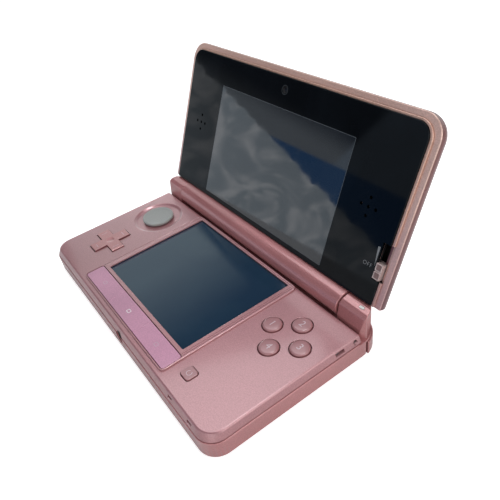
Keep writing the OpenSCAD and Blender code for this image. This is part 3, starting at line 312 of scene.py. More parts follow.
def settle(piece, body, finish, nodes=(), smooth=32):
    """Smooths a finished piece, gives it its finish and fixes it to its body."""
    only(piece)
    bpy.ops.object.shade_smooth_by_angle(angle=math.radians(smooth))
    even_out = piece.modifiers.new("even_out", "WEIGHTED_NORMAL")
    even_out.keep_sharp = True
    even_out.weight = 100
    bpy.ops.object.modifier_apply(modifier=even_out.name)
    piece.data.materials.clear()
    piece.data.materials.append(finish)
    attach(piece, body)
    if nodes:
        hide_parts(*nodes)
    return piece


def lacquer(name, colour, metal, rough, coat, flake=0.25, drift=0.07):
    """Sprayed or moulded finish: colour that drifts a little, fine flake, uneven gloss."""
    finish = bpy.data.materials.new(name)
    finish.use_nodes = True
    tree = finish.node_tree
    shell = tree.nodes["Principled BSDF"]
    shell.inputs["Metallic"].default_value = metal
    shell.inputs["Coat Weight"].default_value = coat
    shell.inputs["Coat Roughness"].default_value = 0.10
    place = tree.nodes.new("ShaderNodeTexCoord").outputs["Object"]
    broad, fine = 28, 2600
    cloud = noise(tree, place, broad, 5)
    grain = noise(tree, place, fine, 2)
    both = tree.nodes.new("ShaderNodeMath")
    both.operation = "MULTIPLY"
    tree.links.new(remap(tree, cloud, 0.3, 0.7, 1 - drift, 1 + drift), both.inputs[0])
    tree.links.new(remap(tree, grain, 0.35, 0.75, 1 - flake * 0.4, 1 + flake * 0.6), both.inputs[1])
    shade = tree.nodes.new("ShaderNodeVectorMath")
    shade.name = "shade"
    shade.operation = "SCALE"
    shade.inputs[0].default_value = colour
    tree.links.new(both.outputs[0], shade.inputs["Scale"])
    tree.links.new(shade.outputs["Vector"], shell.inputs["Base Color"])
    tree.links.new(remap(tree, cloud, 0.3, 0.7, rough * 0.88, rough * 1.12), shell.inputs["Roughness"])
    bump = tree.nodes.new("ShaderNodeBump")
    bump.inputs["Strength"].default_value = 0.10
    bump.inputs["Distance"].default_value = 0.01 * mm
    tree.links.new(grain, bump.inputs["Height"])
    tree.links.new(bump.outputs["Normal"], shell.inputs["Normal"])
    return finish


def on_outline(x, y, half, front, back, front_r, back_r, within=0.03):
    """True where a place lies on a rounded outline that is mirrored about x = 0."""
    r, deep = (front_r, front) if y < 0 else (back_r, back)
    across, along = abs(x) - half + r, abs(y) - deep + r
    off = math.hypot(max(across, 0), max(along, 0)) + min(max(across, along), 0) - r
    return abs(off) < within


rose_lacquer = lacquer("rose_lacquer", (0.47, 0.188, 0.192), 0.30, 0.36, 0.80)

lower_shell = merged("lower_case", "lower_shell")
case_low, case_high = measured("lower_case")
front_corner, back_corner = 7, 10.5
case_line = (case_high[0], -case_low[1], case_high[1], front_corner, back_corner)
seam_height = 9
tower_inside, tower_foot, tower_front = 54, 25, 25.2
light_x, light_y, _ = middle("hinge_light")
light_clear = 2
round_edges(lower_shell, 0.25, 3,
            lambda x, y, z: abs(z - seam_height) < 0.02 and y < tower_foot and on_outline(x, y, *case_line))
round_edges(lower_shell, 0.35, 4,
            lambda x, y, z: z > seam_height + 0.3 and abs(x) > tower_inside and y > tower_front
            and math.hypot(x - light_x, y - light_y) > light_clear, 18)
settle(lower_shell, "base", rose_lacquer, ["lower_case"])

# ---- Upper case --------------------------------------------------------------
# The deck of the base, moulded in ABS and sprayed mauve, with the dish of the circle pad and
# the holes of the buttons. It clips over the tray with a thin shadow line between them.
mauve_lacquer = lacquer("mauve_lacquer", (0.42, 0.198, 0.212), 0.30, 0.34, 0.85)

upper_shell = merged("upper_case", "upper_shell")
deck_half, deck_front, deck_corner = 65, 35, 5.8
_, deck_back, deck_top = measured("upper_case")[1]
on_deck, deck_rear = deck_top - 0.1, 24
deck_line = (deck_half, deck_front, deck_back - 0.4, deck_corner, 1)
back_line = (deck_half, deck_front, deck_back, deck_corner, 1)
round_edges(upper_shell, 0.45, 4,
            lambda x, y, z: z > on_deck
            and (on_outline(x, y, *deck_line) or on_outline(x, y, *back_line, 0.45) and y > deck_rear))

# The deck's upright edge leans out a little more than its solid does, at its sides and front.
most_lean, lean_rise, lean_reach = 0.5 * mm, 2.5, 3
for corner in upper_shell.data.vertices:
    x, y, z = corner.co / mm
    if abs(x) > deck_half - lean_reach or y < lean_reach - deck_front:
        lean = most_lean * min(max(z - seam_height, 0) / lean_rise, 1)
        sideways = min(max(abs(x) - deck_half + deck_corner, 0) / deck_corner, 1)
        forward = min(max(-y - deck_front + deck_corner, 0) / deck_corner, 1)
        corner.co.x += math.copysign(lean, x) * sideways
        corner.co.y -= lean * forward
pad_x, pad_y, _ = middle("pad_cap")
dish_radius, key_hole_radius = 11.5, 3.9
round_edges(upper_shell, 0.25, 3,
            lambda x, y, z: z > on_deck and abs(math.hypot(x - pad_x, y - pad_y) - dish_radius) < 0.1, 15)
for node in ("button_back", "button_front", "button_left", "button_right"):
    hole_x, hole_y, _ = middle(node)
    round_edges(upper_shell, 0.14, 2, lambda x, y, z: z > on_deck
                and abs(math.hypot(x - hole_x, y - hole_y) - key_hole_radius) < 0.05)
settle(upper_shell, "base", mauve_lacquer, ["upper_case"])

# ---- Screen bezel ------------------------------------------------------------
# A raised frame of lacquered plastic, glued round the touch screen and the key strip. A fine
# groove parts its outer rim from the bars round the screen.


def cut(piece, cutter):
    """Takes one shape out of a piece and throws the cutting shape away."""
    only(piece)
    knife = piece.modifiers.new("cut", "BOOLEAN")
    knife.operation = "DIFFERENCE"
    knife.solver = "EXACT"
    knife.object = cutter
    bpy.ops.object.modifier_apply(modifier=knife.name)
    bpy.data.objects.remove(cutter)


def rounded_block(name, low, high, corner, steps):
    """A block between two corners in millimetres, with its upright edges rounded."""
    bpy.ops.object.select_all(action="DESELECT")
    bpy.ops.mesh.primitive_cube_add(size=1)
    block = bpy.context.object
    block.name = name
    low, high = Vector(low) * mm, Vector(high) * mm
    block.data.transform(Matrix.Translation((low + high) / 2) @ Matrix.Diagonal((*(high - low), 1)))
    if corner:
        bpy.ops.object.mode_set(mode="EDIT")
        bpy.ops.mesh.select_mode(type="EDGE")
        bpy.ops.mesh.select_all(action="DESELECT")
        shape = bmesh.from_edit_mesh(block.data)
        for edge in shape.edges:
            first, last = edge.verts
            edge.select = abs(first.co.z - last.co.z) > 0.01 * mm
        bmesh.update_edit_mesh(block.data)
        bpy.ops.mesh.bevel(offset=corner * mm, segments=steps, profile=0.5)
        bpy.ops.object.mode_set(mode="OBJECT")
    return block


bezel = merged("screen_bezel", "bezel")
bezel_low, bezel_high = measured("screen_bezel")
groove_low, groove_high = (-33.5, -33.0), (33.5, 24.0)
groove_floor, groove_width = bezel_high[2] - 0.2, 0.25
groove = rounded_block("groove", (*groove_low, groove_floor), (*groove_high, 13.0), 1.3, 6)
island = rounded_block("island", [edge + groove_width for edge in groove_low] + [12.0],
                       [edge - groove_width for edge in groove_high] + [13.5], 1.1, 6)
cut(groove, island)
cut(bezel, groove)
line_inside, line_outside, line_floor = 32.42, 32.68, bezel_high[2] - 0.15
for side in (-1, 1):
    near, far = sorted((line_inside * side, line_outside * side))
    cut(bezel, rounded_block("fine_line", (near, -24.4, line_floor), (far, 23.1, 13), 0, 0))
bezel_line = (bezel_high[0], -bezel_low[1], bezel_high[1], 1.8, 1.8)
opening_half, opening_deep = 31.05, 23.35
on_bezel = bezel_high[2] - 0.02
round_edges(bezel, 0.26, 4, lambda x, y, z: z > on_bezel and on_outline(x, y, *bezel_line))
round_edges(bezel, 0.16, 2, lambda x, y, z: z > on_bezel and abs(x) < opening_half and abs(y) < opening_deep)
settle(bezel, "base", mauve_lacquer, ["screen_bezel"])

# ---- Touch screen ------------------------------------------------------------
# Resistive touch film over a small display, sunk a little below the bezel. The film is
# plastic with a slate cast and faint smears, glued to the glass under it.


def screen_film(name, deep, pale, rough, shine):
    """A dark display under film: its colour drifts slowly and faint smears change its gloss."""
    finish = bpy.data.materials.new(name)
    finish.use_nodes = True
    tree = finish.node_tree
    film = tree.nodes["Principled BSDF"]
    film.inputs["Specular IOR Level"].default_value = shine
    place = tree.nodes.new("ShaderNodeTexCoord").outputs["Object"]
    tone = tree.nodes.new("ShaderNodeValToRGB")
    for stop, (share, colour) in zip(tone.color_ramp.elements, ((0.35, deep), (0.70, pale))):
        stop.position = share
        stop.color = (*colour, 1)
    tree.links.new(noise(tree, place, 34, 3, 0.6), tone.inputs["Fac"])
    tree.links.new(tone.outputs["Color"], film.inputs["Base Color"])
    smear = noise(tree, place, 260, 6)
    tree.links.new(remap(tree, smear, 0.35, 0.75, rough, rough + 0.04), film.inputs["Roughness"])
    return finish


touch_film = screen_film("touch_film", (0.009, 0.028, 0.060), (0.013, 0.036, 0.068), 0.05, 0.62)
touch_glass = merged("touch_screen", "touch_glass")
touch_top = measured("touch_screen")[1][2]
round_edges(touch_glass, 0.12, 2, lambda x, y, z: z > touch_top - 0.02)
settle(touch_glass, "base", touch_film, ["touch_screen"])

# ---- Key strip ---------------------------------------------------------------
# Three keys of pearl lacquered plastic in a row, between the bars of the bezel. They meet
# with hardly a gap, press straight down, and carry a pale mark in the middle of each.
pearl = lacquer("pearl", (0.54, 0.255, 0.370), 0.12, 0.30, 0.45, 0.22, 0.14)
mark_paint = lacquer("mark_paint", (0.62, 0.50, 0.54), 0.0, 0.45, 0.1, 0.05, 0.03)
bright_mark = lacquer("bright_mark", (0.80, 0.74, 0.77), 0.0, 0.45, 0.1, 0.05, 0.03)
faint_mark = lacquer("faint_mark", (0.54, 0.36, 0.45), 0.0, 0.45, 0.1, 0.05, 0.03)


def printed(name, outline_low, outline_high, corner, thick, body, top, hollow=0.0, paint=None):
    """A small printed shape, rounded, with its middle left out where it is hollow."""
    shape = rounded_block(name, (*outline_low, top), (*outline_high, top + thick), corner, 4)
    if hollow:
        inner = rounded_block(name + "_inner", [edge + hollow for edge in outline_low] + [top - 1],
                              [edge - hollow for edge in outline_high] + [top + 1], corner * 0.5, 3)
        cut(shape, inner)
    return settle(shape, body, paint or mark_paint)


key_pitch, key_side, closer = 22.4, 10.5, 0.123 * mm
strip_low, strip_high = measured("home_key")
strip_end, strip_edge = 33, 0.5
mark_y, mark_half_x, mark_half_y = -29.1, 1.0, 0.8
for node, key_x in (("select_key", -key_pitch), ("home_key", 0), ("start_key", key_pitch)):
    key = merged(node, node.replace("_key", "_pearl_key"))
    for corner in key.data.vertices:
        aside = corner.co.x / mm - key_x
        if abs(corner.co.x) < strip_end * mm and abs(aside) > key_side:
            corner.co.x += math.copysign(closer, aside)
    round_edges(key, 0.16, 3,
                lambda x, y, z: z > strip_high[2] - 0.05
                and (y < strip_low[1] + strip_edge or y > strip_high[1] - strip_edge or abs(x) > strip_end))
    settle(key, node, pearl, [node])
    shine_through = bright_mark if node == "home_key" else faint_mark
    printed(node + "_mark", (key_x - mark_half_x, mark_y - mark_half_y),
            (key_x + mark_half_x, mark_y + mark_half_y), 0.45, 0.02, node, strip_high[2], 0.28, shine_through)

# ---- Face buttons ------------------------------------------------------------
# Four keys of moulded rose plastic with crowned tops and round shoulders, and a number
# printed on each. They stand in close round holes and press straight down.


def turned(name, section, spot, body, finish, nodes=(), steps=64):
    """Spins a section of (radius, height) about an upright axis and puts it at its spot."""
    half = bpy.data.meshes.new(name)
    piece = bpy.data.objects.new(name, half)
    bpy.context.scene.collection.objects.link(piece)
    shape = bmesh.new()
    ring = [shape.verts.new((r * mm, 0, z * mm)) for r, z in section]
    for a, b in zip(ring, ring[1:]):
        shape.edges.new((a, b))
    shape.to_mesh(half)
    shape.free()
    only(piece)
    bpy.ops.object.mode_set(mode="EDIT")
    bpy.ops.mesh.select_all(action="SELECT")
    bpy.ops.mesh.spin(steps=steps, angle=2 * math.pi, center=(0, 0, 0), axis=(0, 0, 1))
    bpy.ops.mesh.select_all(action="SELECT")
    bpy.ops.mesh.remove_doubles(threshold=0.004 * mm)
    bpy.ops.mesh.normals_make_consistent(inside=False)
    bpy.ops.object.mode_set(mode="OBJECT")
    half.transform(spot)
    return settle(piece, body, finish, nodes, 40)


# Painted shade: a deeper rose for the upright sides of the keys, where shade falls beside their tops.
deep_rose = lacquer("deep_rose", (0.25, 0.085, 0.090), 0.05, 0.34, 0.35, 0.08, 0.04)


def paint_faces(piece, finish, wanted):
    """Gives a second finish to the faces that are wanted."""
    piece.data.materials.append(finish)
    for face in piece.data.polygons:
        if wanted(face):
            face.material_index = 1


def shade_upright_sides(key):
    """Paints shade on the upright sides of a key: a deeper rose than its lit top."""
    paint_faces(key, deep_rose, lambda face: face.normal.z < 0.5)


def lettering(name, word, size, thick, spot, body, finish, spread=1.0, fatter=0.0):
    """A printed word or number, made flat and then put at its spot."""
    bpy.ops.object.select_all(action="DESELECT")
    bpy.ops.object.text_add()
    ink = bpy.context.object
    ink.data.body = word
    ink.data.size = size * mm
    ink.data.offset = fatter * mm
    ink.data.space_character = spread
    ink.data.align_x = "CENTER"
    ink.data.align_y = "CENTER"
    ink.data.extrude = thick * mm
    bpy.ops.object.convert(target="MESH")
    ink.name = name
    ink.data.transform(spot)
    settle(ink, body, finish)


button_rose = lacquer("button_rose", (0.385, 0.178, 0.190), 0.05, 0.30, 0.45, 0.08, 0.04)
button_section = [(0, 12.78), (1.4, 12.775), (2.4, 12.75), (2.85, 12.71), (3.1, 12.63), (3.32, 12.50),
                  (3.47, 12.33), (3.55, 12.12), (3.60, 11.9), (3.62, 11.4), (3.62, 10.7), (4.4, 10.7),
                  (4.4, 10.2), (0, 10.2)]
number_size, number_thick, number_height = 3.7, 0.02, 12.76
for number, node in (("1", "button_left"), ("2", "button_back"),
                     ("3", "button_right"), ("4", "button_front")):
    key_x, key_y, _ = middle(node)
    spot = Matrix.Translation(Vector((key_x, key_y, 0)) * mm)
    # Each key's upright sides get painted shade.
    shade_upright_sides(turned(node + "_key", button_section, spot, node, button_rose, [node], 72))
    on_top = Matrix.Translation(Vector((key_x, key_y, number_height)) * mm)
    lettering("number_on_" + node, number, number_size, number_thick, on_top, node,
              mark_paint)

# ---- Direction pad -----------------------------------------------------------
# One lacquered plastic cross that rocks on a pivot, hollow in the middle, with a bar mark
# near the end of each arm.
cross = merged("direction_pad", "cross")
cross_x, cross_y, _ = middle("direction_pad")
cross_edge, cross_hollow = 12.3, 2.9
round_edges(cross, 0.35, 4,
            lambda x, y, z: z > cross_edge and max(abs(x - cross_x), abs(y - cross_y)) > cross_hollow, 40)
# The cross's upright sides get painted shade.
shade_upright_sides(settle(cross, "direction_pad", rose_lacquer, ["direction_pad"]))

arm_paint = lacquer("arm_paint", (0.52, 0.30, 0.32), 0.2, 0.35, 0.5, 0.1, 0.05)
bar_reach, bar_half, bar_longer, bar_height = 6.4, 0.2, 1.2, 12.57
for way, (step_x, step_y) in (("left", (-1, 0)), ("right", (1, 0)), ("front", (0, -1)), ("back", (0, 1))):
    mid_x, mid_y = cross_x + bar_reach * step_x, cross_y + bar_reach * step_y
    half_x, half_y = bar_half + bar_longer * abs(step_y), bar_half + bar_longer * abs(step_x)
    printed("arm_bar_" + way, (mid_x - half_x, mid_y - half_y), (mid_x + half_x, mid_y + half_y), 0.18, 0.06,
            "direction_pad", bar_height, 0, arm_paint)

# ---- Circle pad --------------------------------------------------------------
# A soft grey rubber cap with a hollow top and a raised rim, on a stem that slides every
# way in its dish. The cap is turned, so it is spun from half of its section.


def trim(piece, place, facing, beyond=False):
    """Cuts a piece at a flat plane, keeps what is behind it or beyond it, and closes the cut."""
    only(piece)
    bpy.ops.object.mode_set(mode="EDIT")
    bpy.ops.mesh.select_all(action="SELECT")
    bpy.ops.mesh.bisect(plane_co=[value * mm for value in place], plane_no=facing, use_fill=True,
                        clear_outer=not beyond, clear_inner=beyond)
    bpy.ops.object.mode_set(mode="OBJECT")


stem_top = 9.85
cap_section = [(0.0, 12.25), (3.0, 12.30), (5.2, 12.44), (6.0, 12.62), (6.35, 12.74), (6.75, 12.80),
               (7.05, 12.74), (7.22, 12.58), (7.25, 12.38), (7.20, 11.75), (7.0, 11.55), (6.6, 11.5),
               (2.4, 11.5), (2.4, stem_top)]
pad_rubber = lacquer("pad_rubber", (0.31, 0.32, 0.31), 0.0, 0.55, 0.05, 0.10, 0.03)
pad_stem = merged("pad_cap", "pad_stem")
trim(pad_stem, (0, 0, stem_top), (0, 0, 1))
settle(pad_stem, "pad_cap", pad_rubber)
pad_spot = Matrix.Translation(Vector((pad_x, pad_y, 0)) * mm)
turned("pad_rubber_cap", cap_section, pad_spot, "pad_cap", pad_rubber, ["pad_cap"], 96)

# ---- Power button ------------------------------------------------------------
# A square plastic key with soft corners that stands a little proud of the deck, with an
# open ring printed on it. It presses straight down.
power_key = merged("power_button", "power_key")
power_edge = 12.4
round_edges(power_key, 0.3, 4, lambda x, y, z: z > power_edge)
# The power key's upright sides get painted shade.
shade_upright_sides(settle(power_key, "power_button", button_rose, ["power_button"]))
bpy.ops.object.select_all(action="DESELECT")
power_x, power_y, _ = middle("power_button")
ring_radius, ring_half, ring_height, ring_flat = 0.95 * mm, 0.11 * mm, 12.49, 0.3
ring_gap = 0.45
bpy.ops.mesh.primitive_torus_add(major_radius=ring_radius, minor_radius=ring_half,
                                 major_segments=40, minor_segments=6)
ring = bpy.context.object
ring.name = "power_ring"
bpy.ops.object.mode_set(mode="EDIT")
bpy.ops.mesh.select_mode(type="VERT")
bpy.ops.mesh.select_all(action="DESELECT")
shape = bmesh.from_edit_mesh(ring.data)
for corner in shape.verts:
    corner.select = abs(math.atan2(corner.co.x, corner.co.y)) < ring_gap
shape.select_flush_mode()
bmesh.update_edit_mesh(ring.data)
bpy.ops.mesh.delete(type="VERT")
bpy.ops.mesh.select_all(action="SELECT")
bpy.ops.mesh.select_non_manifold()
bpy.ops.mesh.edge_face_add()
bpy.ops.object.mode_set(mode="OBJECT")
ring_spot = Matrix.Translation(Vector((power_x, power_y, ring_height)) * mm)
ring.data.transform(ring_spot @ Matrix.Diagonal((1, 1, ring_flat, 1)))
settle(ring, "power_button", mark_paint)

# ---- Hinge barrel ------------------------------------------------------------
# The round plastic knuckle of the lid, lacquered like the case, between the towers. Steel
# pins run from it into both towers.
barrel = merged("hinge_barrel", "barrel")
_, axis_y, axis_z = middle("hinge_barrel")
barrel_end, barrel_skin = measured("hinge_barrel")[1][0], 4.9
round_edges(barrel, 0.3, 3, lambda x, y, z: abs(abs(x) - barrel_end) < 0.02
            and math.hypot(y - axis_y, z - axis_z) > barrel_skin)
settle(barrel, "lid", rose_lacquer, ["hinge_barrel"])

# ---- Lid cover ---------------------------------------------------------------
# The lid's back is one deep rounded moulding, lacquered gold at its inner lip and rose
# behind, with a painted highlight at the lip's edge, painted shade on the side behind it and
# painted shade towards the hinge. It is made here lying closed, hollowed out, and then swung
# open about the hinge.
open_turn = math.radians(-113.2)
opened = (Matrix.Translation((0, axis_y * mm, axis_z * mm)) @ Matrix.Rotation(open_turn, 4, "X")
          @ Matrix.Translation((0, -axis_y * mm, -axis_z * mm)))
closed = opened.inverted()
lid_half, lid_front, lid_low, lid_top, lid_corner = case_high[0], -36.8, 14.3, 21.0, 7.5
neck_line, past_neck = 25.6, 45
lid_shell = rounded_block("lid_shell", (-lid_half, lid_front, lid_low), (lid_half, past_neck, lid_top),
                          lid_corner, 14)
round_edges(lid_shell, 5.5, 12, lambda x, y, z: z > lid_top - 0.1, 60)
round_edges(lid_shell, 0.35, 3, lambda x, y, z: z < lid_low + 0.1, 60)
trim(lid_shell, (0, neck_line, 0), (0, 1, 0))
seat_low, seat_high = (-64.85, -34.85, 13), (64.85, 30, 15.3)
cut(lid_shell, rounded_block("seat", seat_low, seat_high, 6.05, 10))
hollow_low, hollow_high = (-62.8, -32.6, 15), (62.8, 24.3, 19.6)
cut(lid_shell, rounded_block("hollow", hollow_low, hollow_high, 5, 6))
lens_spot = closed @ ((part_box("outer_cameras")[0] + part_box("outer_cameras")[1]) / 2)
lens_apart, window_radius = 17.5, 3.2 * mm
for lens_x in (-lens_apart, lens_apart):
    bpy.ops.object.select_all(action="DESELECT")
    bpy.ops.mesh.primitive_cylinder_add(vertices=64, radius=window_radius, depth=6 * mm,
                                        location=(lens_x * mm, lens_spot.y, 20 * mm))
    cut(lid_shell, bpy.context.object)
lid_shell.data.transform(opened)
shell_paint = lacquer("shell_paint", (0.40, 0.18, 0.19), 0.30, 0.30, 0.38)
tree = shell_paint.node_tree
spot = tree.nodes.new("ShaderNodeTexCoord")
depth = tree.nodes.new("ShaderNodeVectorMath")
depth.operation = "DOT_PRODUCT"
depth.inputs[1].default_value = opened.to_3x3() @ Vector((0, 0, 1))
tree.links.new(spot.outputs["Object"], depth.inputs[0])
lip_height, band_depth = 14 * mm, 7 * mm
level = (opened @ Vector((0, 0, lip_height))).dot(Vector(depth.inputs[1].default_value))
# Gold at the lip and a painted highlight at its edge (the paler stop), then painted shade: a very dark band
# that lightens back to the rose behind.
lip_and_shade_bands = tree.nodes.new("ShaderNodeValToRGB")
lip_and_shade_bands.color_ramp.elements[0].color = (0.72, 0.46, 0.39, 1)
lip_and_shade_bands.color_ramp.elements[1].color = (0.40, 0.18, 0.19, 1)
for place, colour in ((0.075, (0.76, 0.50, 0.43)), (0.10, (0.19, 0.065, 0.06)),
                      (0.45, (0.24, 0.085, 0.085)), (0.75, (0.38, 0.17, 0.18))):
    lip_and_shade_bands.color_ramp.elements.new(place).color = (*colour, 1)
tree.links.new(remap(tree, depth.outputs["Value"], level, level + band_depth), lip_and_shade_bands.inputs["Fac"])


def shade_towards_hinge(finish, colour):
    """Paints shade on a lacquer's colour, a socket or three numbers: darker and more mauve towards the hinge.
    """
    shade_full_height, shade_gone_height = 24 * mm, 50 * mm
    tree = finish.node_tree
    spot = tree.nodes.new("ShaderNodeTexCoord")
    rise = tree.nodes.new("ShaderNodeSeparateXYZ")
    tree.links.new(spot.outputs["Object"], rise.inputs[0])
    tint = tree.nodes.new("ShaderNodeMix")
    tint.data_type = "RGBA"
    tint.inputs[6].default_value = (0.72, 0.66, 0.78, 1)
    tint.inputs[7].default_value = (1, 1, 1, 1)
    tree.links.new(remap(tree, rise.outputs["Z"], shade_full_height, shade_gone_height), tint.inputs[0])
    tinted = tree.nodes.new("ShaderNodeVectorMath")
    tinted.operation = "MULTIPLY"
    tree.links.new(tint.outputs[2], tinted.inputs[0])
    if isinstance(colour, tuple):
        tinted.inputs[1].default_value = colour
    else:
        tree.links.new(colour, tinted.inputs[1])
    tree.links.new(tinted.outputs["Vector"], tree.nodes["shade"].inputs[0])


# The lid's back gets painted shade towards the hinge.
shade_towards_hinge(shell_paint, lip_and_shade_bands.outputs["Color"])
settle(lid_shell, "lid", shell_paint, ["lid_cover"])
bed_black = lacquer("bed_black", (0.010, 0.009, 0.010), 0.0, 0.5, 0.0, 0.1, 0.05)


def lies_in(piece, face, low, high, near=0.1):
    """True where a face of the lid lies in a block that is given with the lid shut."""
    corners = [closed @ piece.data.vertices[i].co / mm for i in face.vertices]
    return all(start - near < value < end + near
               for corner in corners for start, value, end in zip(low, corner, high))


paint_faces(lid_shell, bed_black, lambda face: lies_in(lid_shell, face, hollow_low, hollow_high))

# The neck runs on from the lid's back to the barrel, between the towers.
neck = merged("lid_cover", "lid_neck")
neck.data.transform(closed)
trim(neck, (0, neck_line, 0), (0, 1, 0), beyond=True)
neck.data.transform(opened)
settle(neck, "lid", rose_lacquer)

# ---- Lid frame ---------------------------------------------------------------
# The inner frame of sprayed plastic holds the glossy panel, its screen and speakers, and
# closes the cover. The slider's bed is moulded into its right side and left black.
lid_rim = merged("lid_frame", "lid_rim")
lid_rim.data.transform(closed)
rim_line, rim_face = (64.8, 34.8, neck_line, 6, 0.5), 13.62
round_edges(lid_rim, 0.28, 4, lambda x, y, z: z < rim_face and on_outline(x, y, *rim_line, 0.06))
lid_rim.data.transform(opened)
gold = (0.63, 0.37, 0.29)
golden_lacquer = lacquer("golden_lacquer", gold, 0.30, 0.30, 0.85)
# The frame gets the same painted shade towards the hinge.
shade_towards_hinge(golden_lacquer, gold)
settle(lid_rim, "lid", golden_lacquer, ["lid_frame"])
bed_low, bed_side, bed_end = (60.2, 2.8, 0), (64.2, 17.4, 15.3), (64.9, 17.4, 15.3)


def in_bed(face):
    """True for the faces of the slider's bed. Its two ends reach farther out than its floor."""
    is_end = abs((closed.to_3x3() @ face.normal).y) > 0.9
    return lies_in(lid_rim, face, bed_low, bed_end if is_end else bed_side, 0)


paint_faces(lid_rim, bed_black, in_bed)

# ---- Glossy panel ------------------------------------------------------------
# One sheet of smoked acrylic over the whole inside of the lid, printed black from behind
# and stuck into the frame, with a clear window over the screen.
smoked = screen_film("smoked_panel", (0.0035, 0.0045, 0.006), (0.006, 0.008, 0.011), 0.04, 0.14)
panel = merged("front_panel", "smoked_sheet")
panel.data.transform(closed)
panel_line, panel_face = (63.8, 34, 25.4, 5, 0.6), 13.12
round_edges(panel, 0.25, 4, lambda x, y, z: z < panel_face and on_outline(x, y, *panel_line, 0.06))
panel.data.transform(opened)
settle(panel, "lid", smoked, ["front_panel"])

# ---- Upper screen ------------------------------------------------------------
# The display is a flat glass cell stuck behind the sheet. What shows of it, faintly grey
# with a thin pale line round it, is made as a skin on the front of the sheet.
display_film = screen_film("display_film", (0.012, 0.016, 0.022), (0.020, 0.025, 0.032), 0.03, 0.95)
display_low, display_high = (-38.4, -22.85), (38.4, 23.25)
display_face, display_back, line_width, line_sunk = 13.08, 13.11, 0.2, 0.005
display = rounded_block("upper_display", (*display_low, display_face), (*display_high, display_back), 0.3, 3)
display.data.transform(opened)
settle(display, "lid", display_film)
border = rounded_block("upper_display_line",
                       [edge - line_width for edge in display_low] + [display_face + line_sunk],
                       [edge + line_width for edge in display_high] + [display_back - line_sunk], 0.4, 3)
cut(border, rounded_block("inner_line", (*display_low, 12), (*display_high, 14), 0.3, 3))
border.data.transform(opened)
line_grey = lacquer("line_grey", (0.06, 0.07, 0.08), 0.0, 0.4, 0.2, 0.02, 0.02)
settle(border, "lid", line_grey)

# ---- Depth slider ------------------------------------------------------------
# A two-step knob of silver plastic in a notch at the panel's right edge, with painted shade in
# the sunk middle of each step. A wedge beside it and the word OFF at its lower end are printed
# on the sheet.
silver_rose = lacquer("silver_rose", (0.60, 0.47, 0.45), 0.35, 0.30, 0.45)
# Painted shade: a darker rose for the sunk middles of the knob's steps.
sunk_shade = lacquer("sunk_shade", (0.24, 0.15, 0.14), 0.2, 0.42, 0.15)
slider = merged("depth_slider", "slider_knob")
slider.data.transform(closed)
knob_edge, knob_top, step_area = 13.2, 12.8 * mm, 3 * mm * mm
round_edges(slider, 0.12, 2, lambda x, y, z: z < knob_edge)
only(slider)
bpy.ops.object.mode_set(mode="EDIT")
bpy.ops.mesh.select_mode(type="FACE")
bpy.ops.mesh.select_all(action="DESELECT")
shape = bmesh.from_edit_mesh(slider.data)
for face in shape.faces:
    on_knob_top = face.normal.z < -0.95 and face.calc_center_median().z < knob_top
    face.select_set(on_knob_top and face.calc_area() > step_area)
bmesh.update_edit_mesh(slider.data)
step_rim, step_slope, step_sunk = 0.16 * mm, 0.08 * mm, 0.16 * mm
bpy.ops.mesh.inset(thickness=step_rim, depth=0, use_individual=True)
bpy.ops.mesh.inset(thickness=step_slope, depth=-step_sunk, use_individual=True)
bpy.ops.object.mode_set(mode="OBJECT")
sunk = [face.index for face in slider.data.polygons if face.select]
slider.data.transform(opened)
settle(slider, "depth_slider", silver_rose, ["depth_slider"])
# The sunk middles get the painted shade.
paint_faces(slider, sunk_shade, lambda face: face.index in sunk)
print_grey = lacquer("print_grey", (0.22, 0.235, 0.25), 0.0, 0.5, 0.1, 0.03, 0.02)
print_height, print_thick = 13.09, 0.02
wedge_corners = ((59.5, 5.7), (60.45, 5.5), (60.4, 12.4))
wedge_shape = bpy.data.meshes.new("slider_wedge")
wedge_shape.from_pydata([(x * mm, y * mm, print_height * mm) for x, y in wedge_corners], [], [(0, 1, 2)])
wedge = bpy.data.objects.new("slider_wedge", wedge_shape)
bpy.context.scene.collection.objects.link(wedge)
only(wedge)
bpy.ops.object.mode_set(mode="EDIT")
bpy.ops.mesh.select_all(action="SELECT")
bpy.ops.mesh.extrude_region_move(TRANSFORM_OT_translate={"value": (0, 0, -print_thick * mm)})
bpy.ops.mesh.select_all(action="SELECT")
bpy.ops.mesh.normals_make_consistent(inside=False)
bpy.ops.object.mode_set(mode="OBJECT")
wedge_shape.transform(opened)
settle(wedge, "lid", print_grey)
off_size, off_thick, off_spread, off_thinner = 2.05, 0.01, 1.15, 0.03
off_place = Matrix.Translation(Vector((57.6, 12.9, print_height)) * mm)
off_spot = opened @ off_place @ Matrix.Rotation(math.pi, 4, "X")
lettering("off_word", "OFF", off_size, off_thick, off_spot, "lid", print_grey, off_spread,
          -off_thinner)

# ---- Cameras -----------------------------------------------------------------
# Each glass lens sits in a turned black cup behind the sheet, or behind a round window in
# the lid's back. Cups and lenses are spun from their sections.
cup_black = lacquer("cup_black", (0.012, 0.012, 0.014), 0.0, 0.50, 0.10, 0.05, 0.02)
lens_glass = lacquer("lens_glass", (0.010, 0.012, 0.022), 0.0, 0.12, 0.20, 0.0, 0.02)
for finish in (cup_black, lens_glass):
    finish.node_tree.nodes["Principled BSDF"].inputs["Specular IOR Level"].default_value = 0.10
inner_cup = [(0.55, 13.75), (0.62, 13.75), (0.95, 13.25), (1.18, 13.12), (1.25, 13.14), (1.25, 15.4),
             (2.4, 15.5), (2.4, 17.5), (0.0, 17.5)]
inner_glass = [(0.0, 13.52), (0.3, 13.56), (0.6, 13.72), (0.6, 14.2), (0.0, 14.2)]
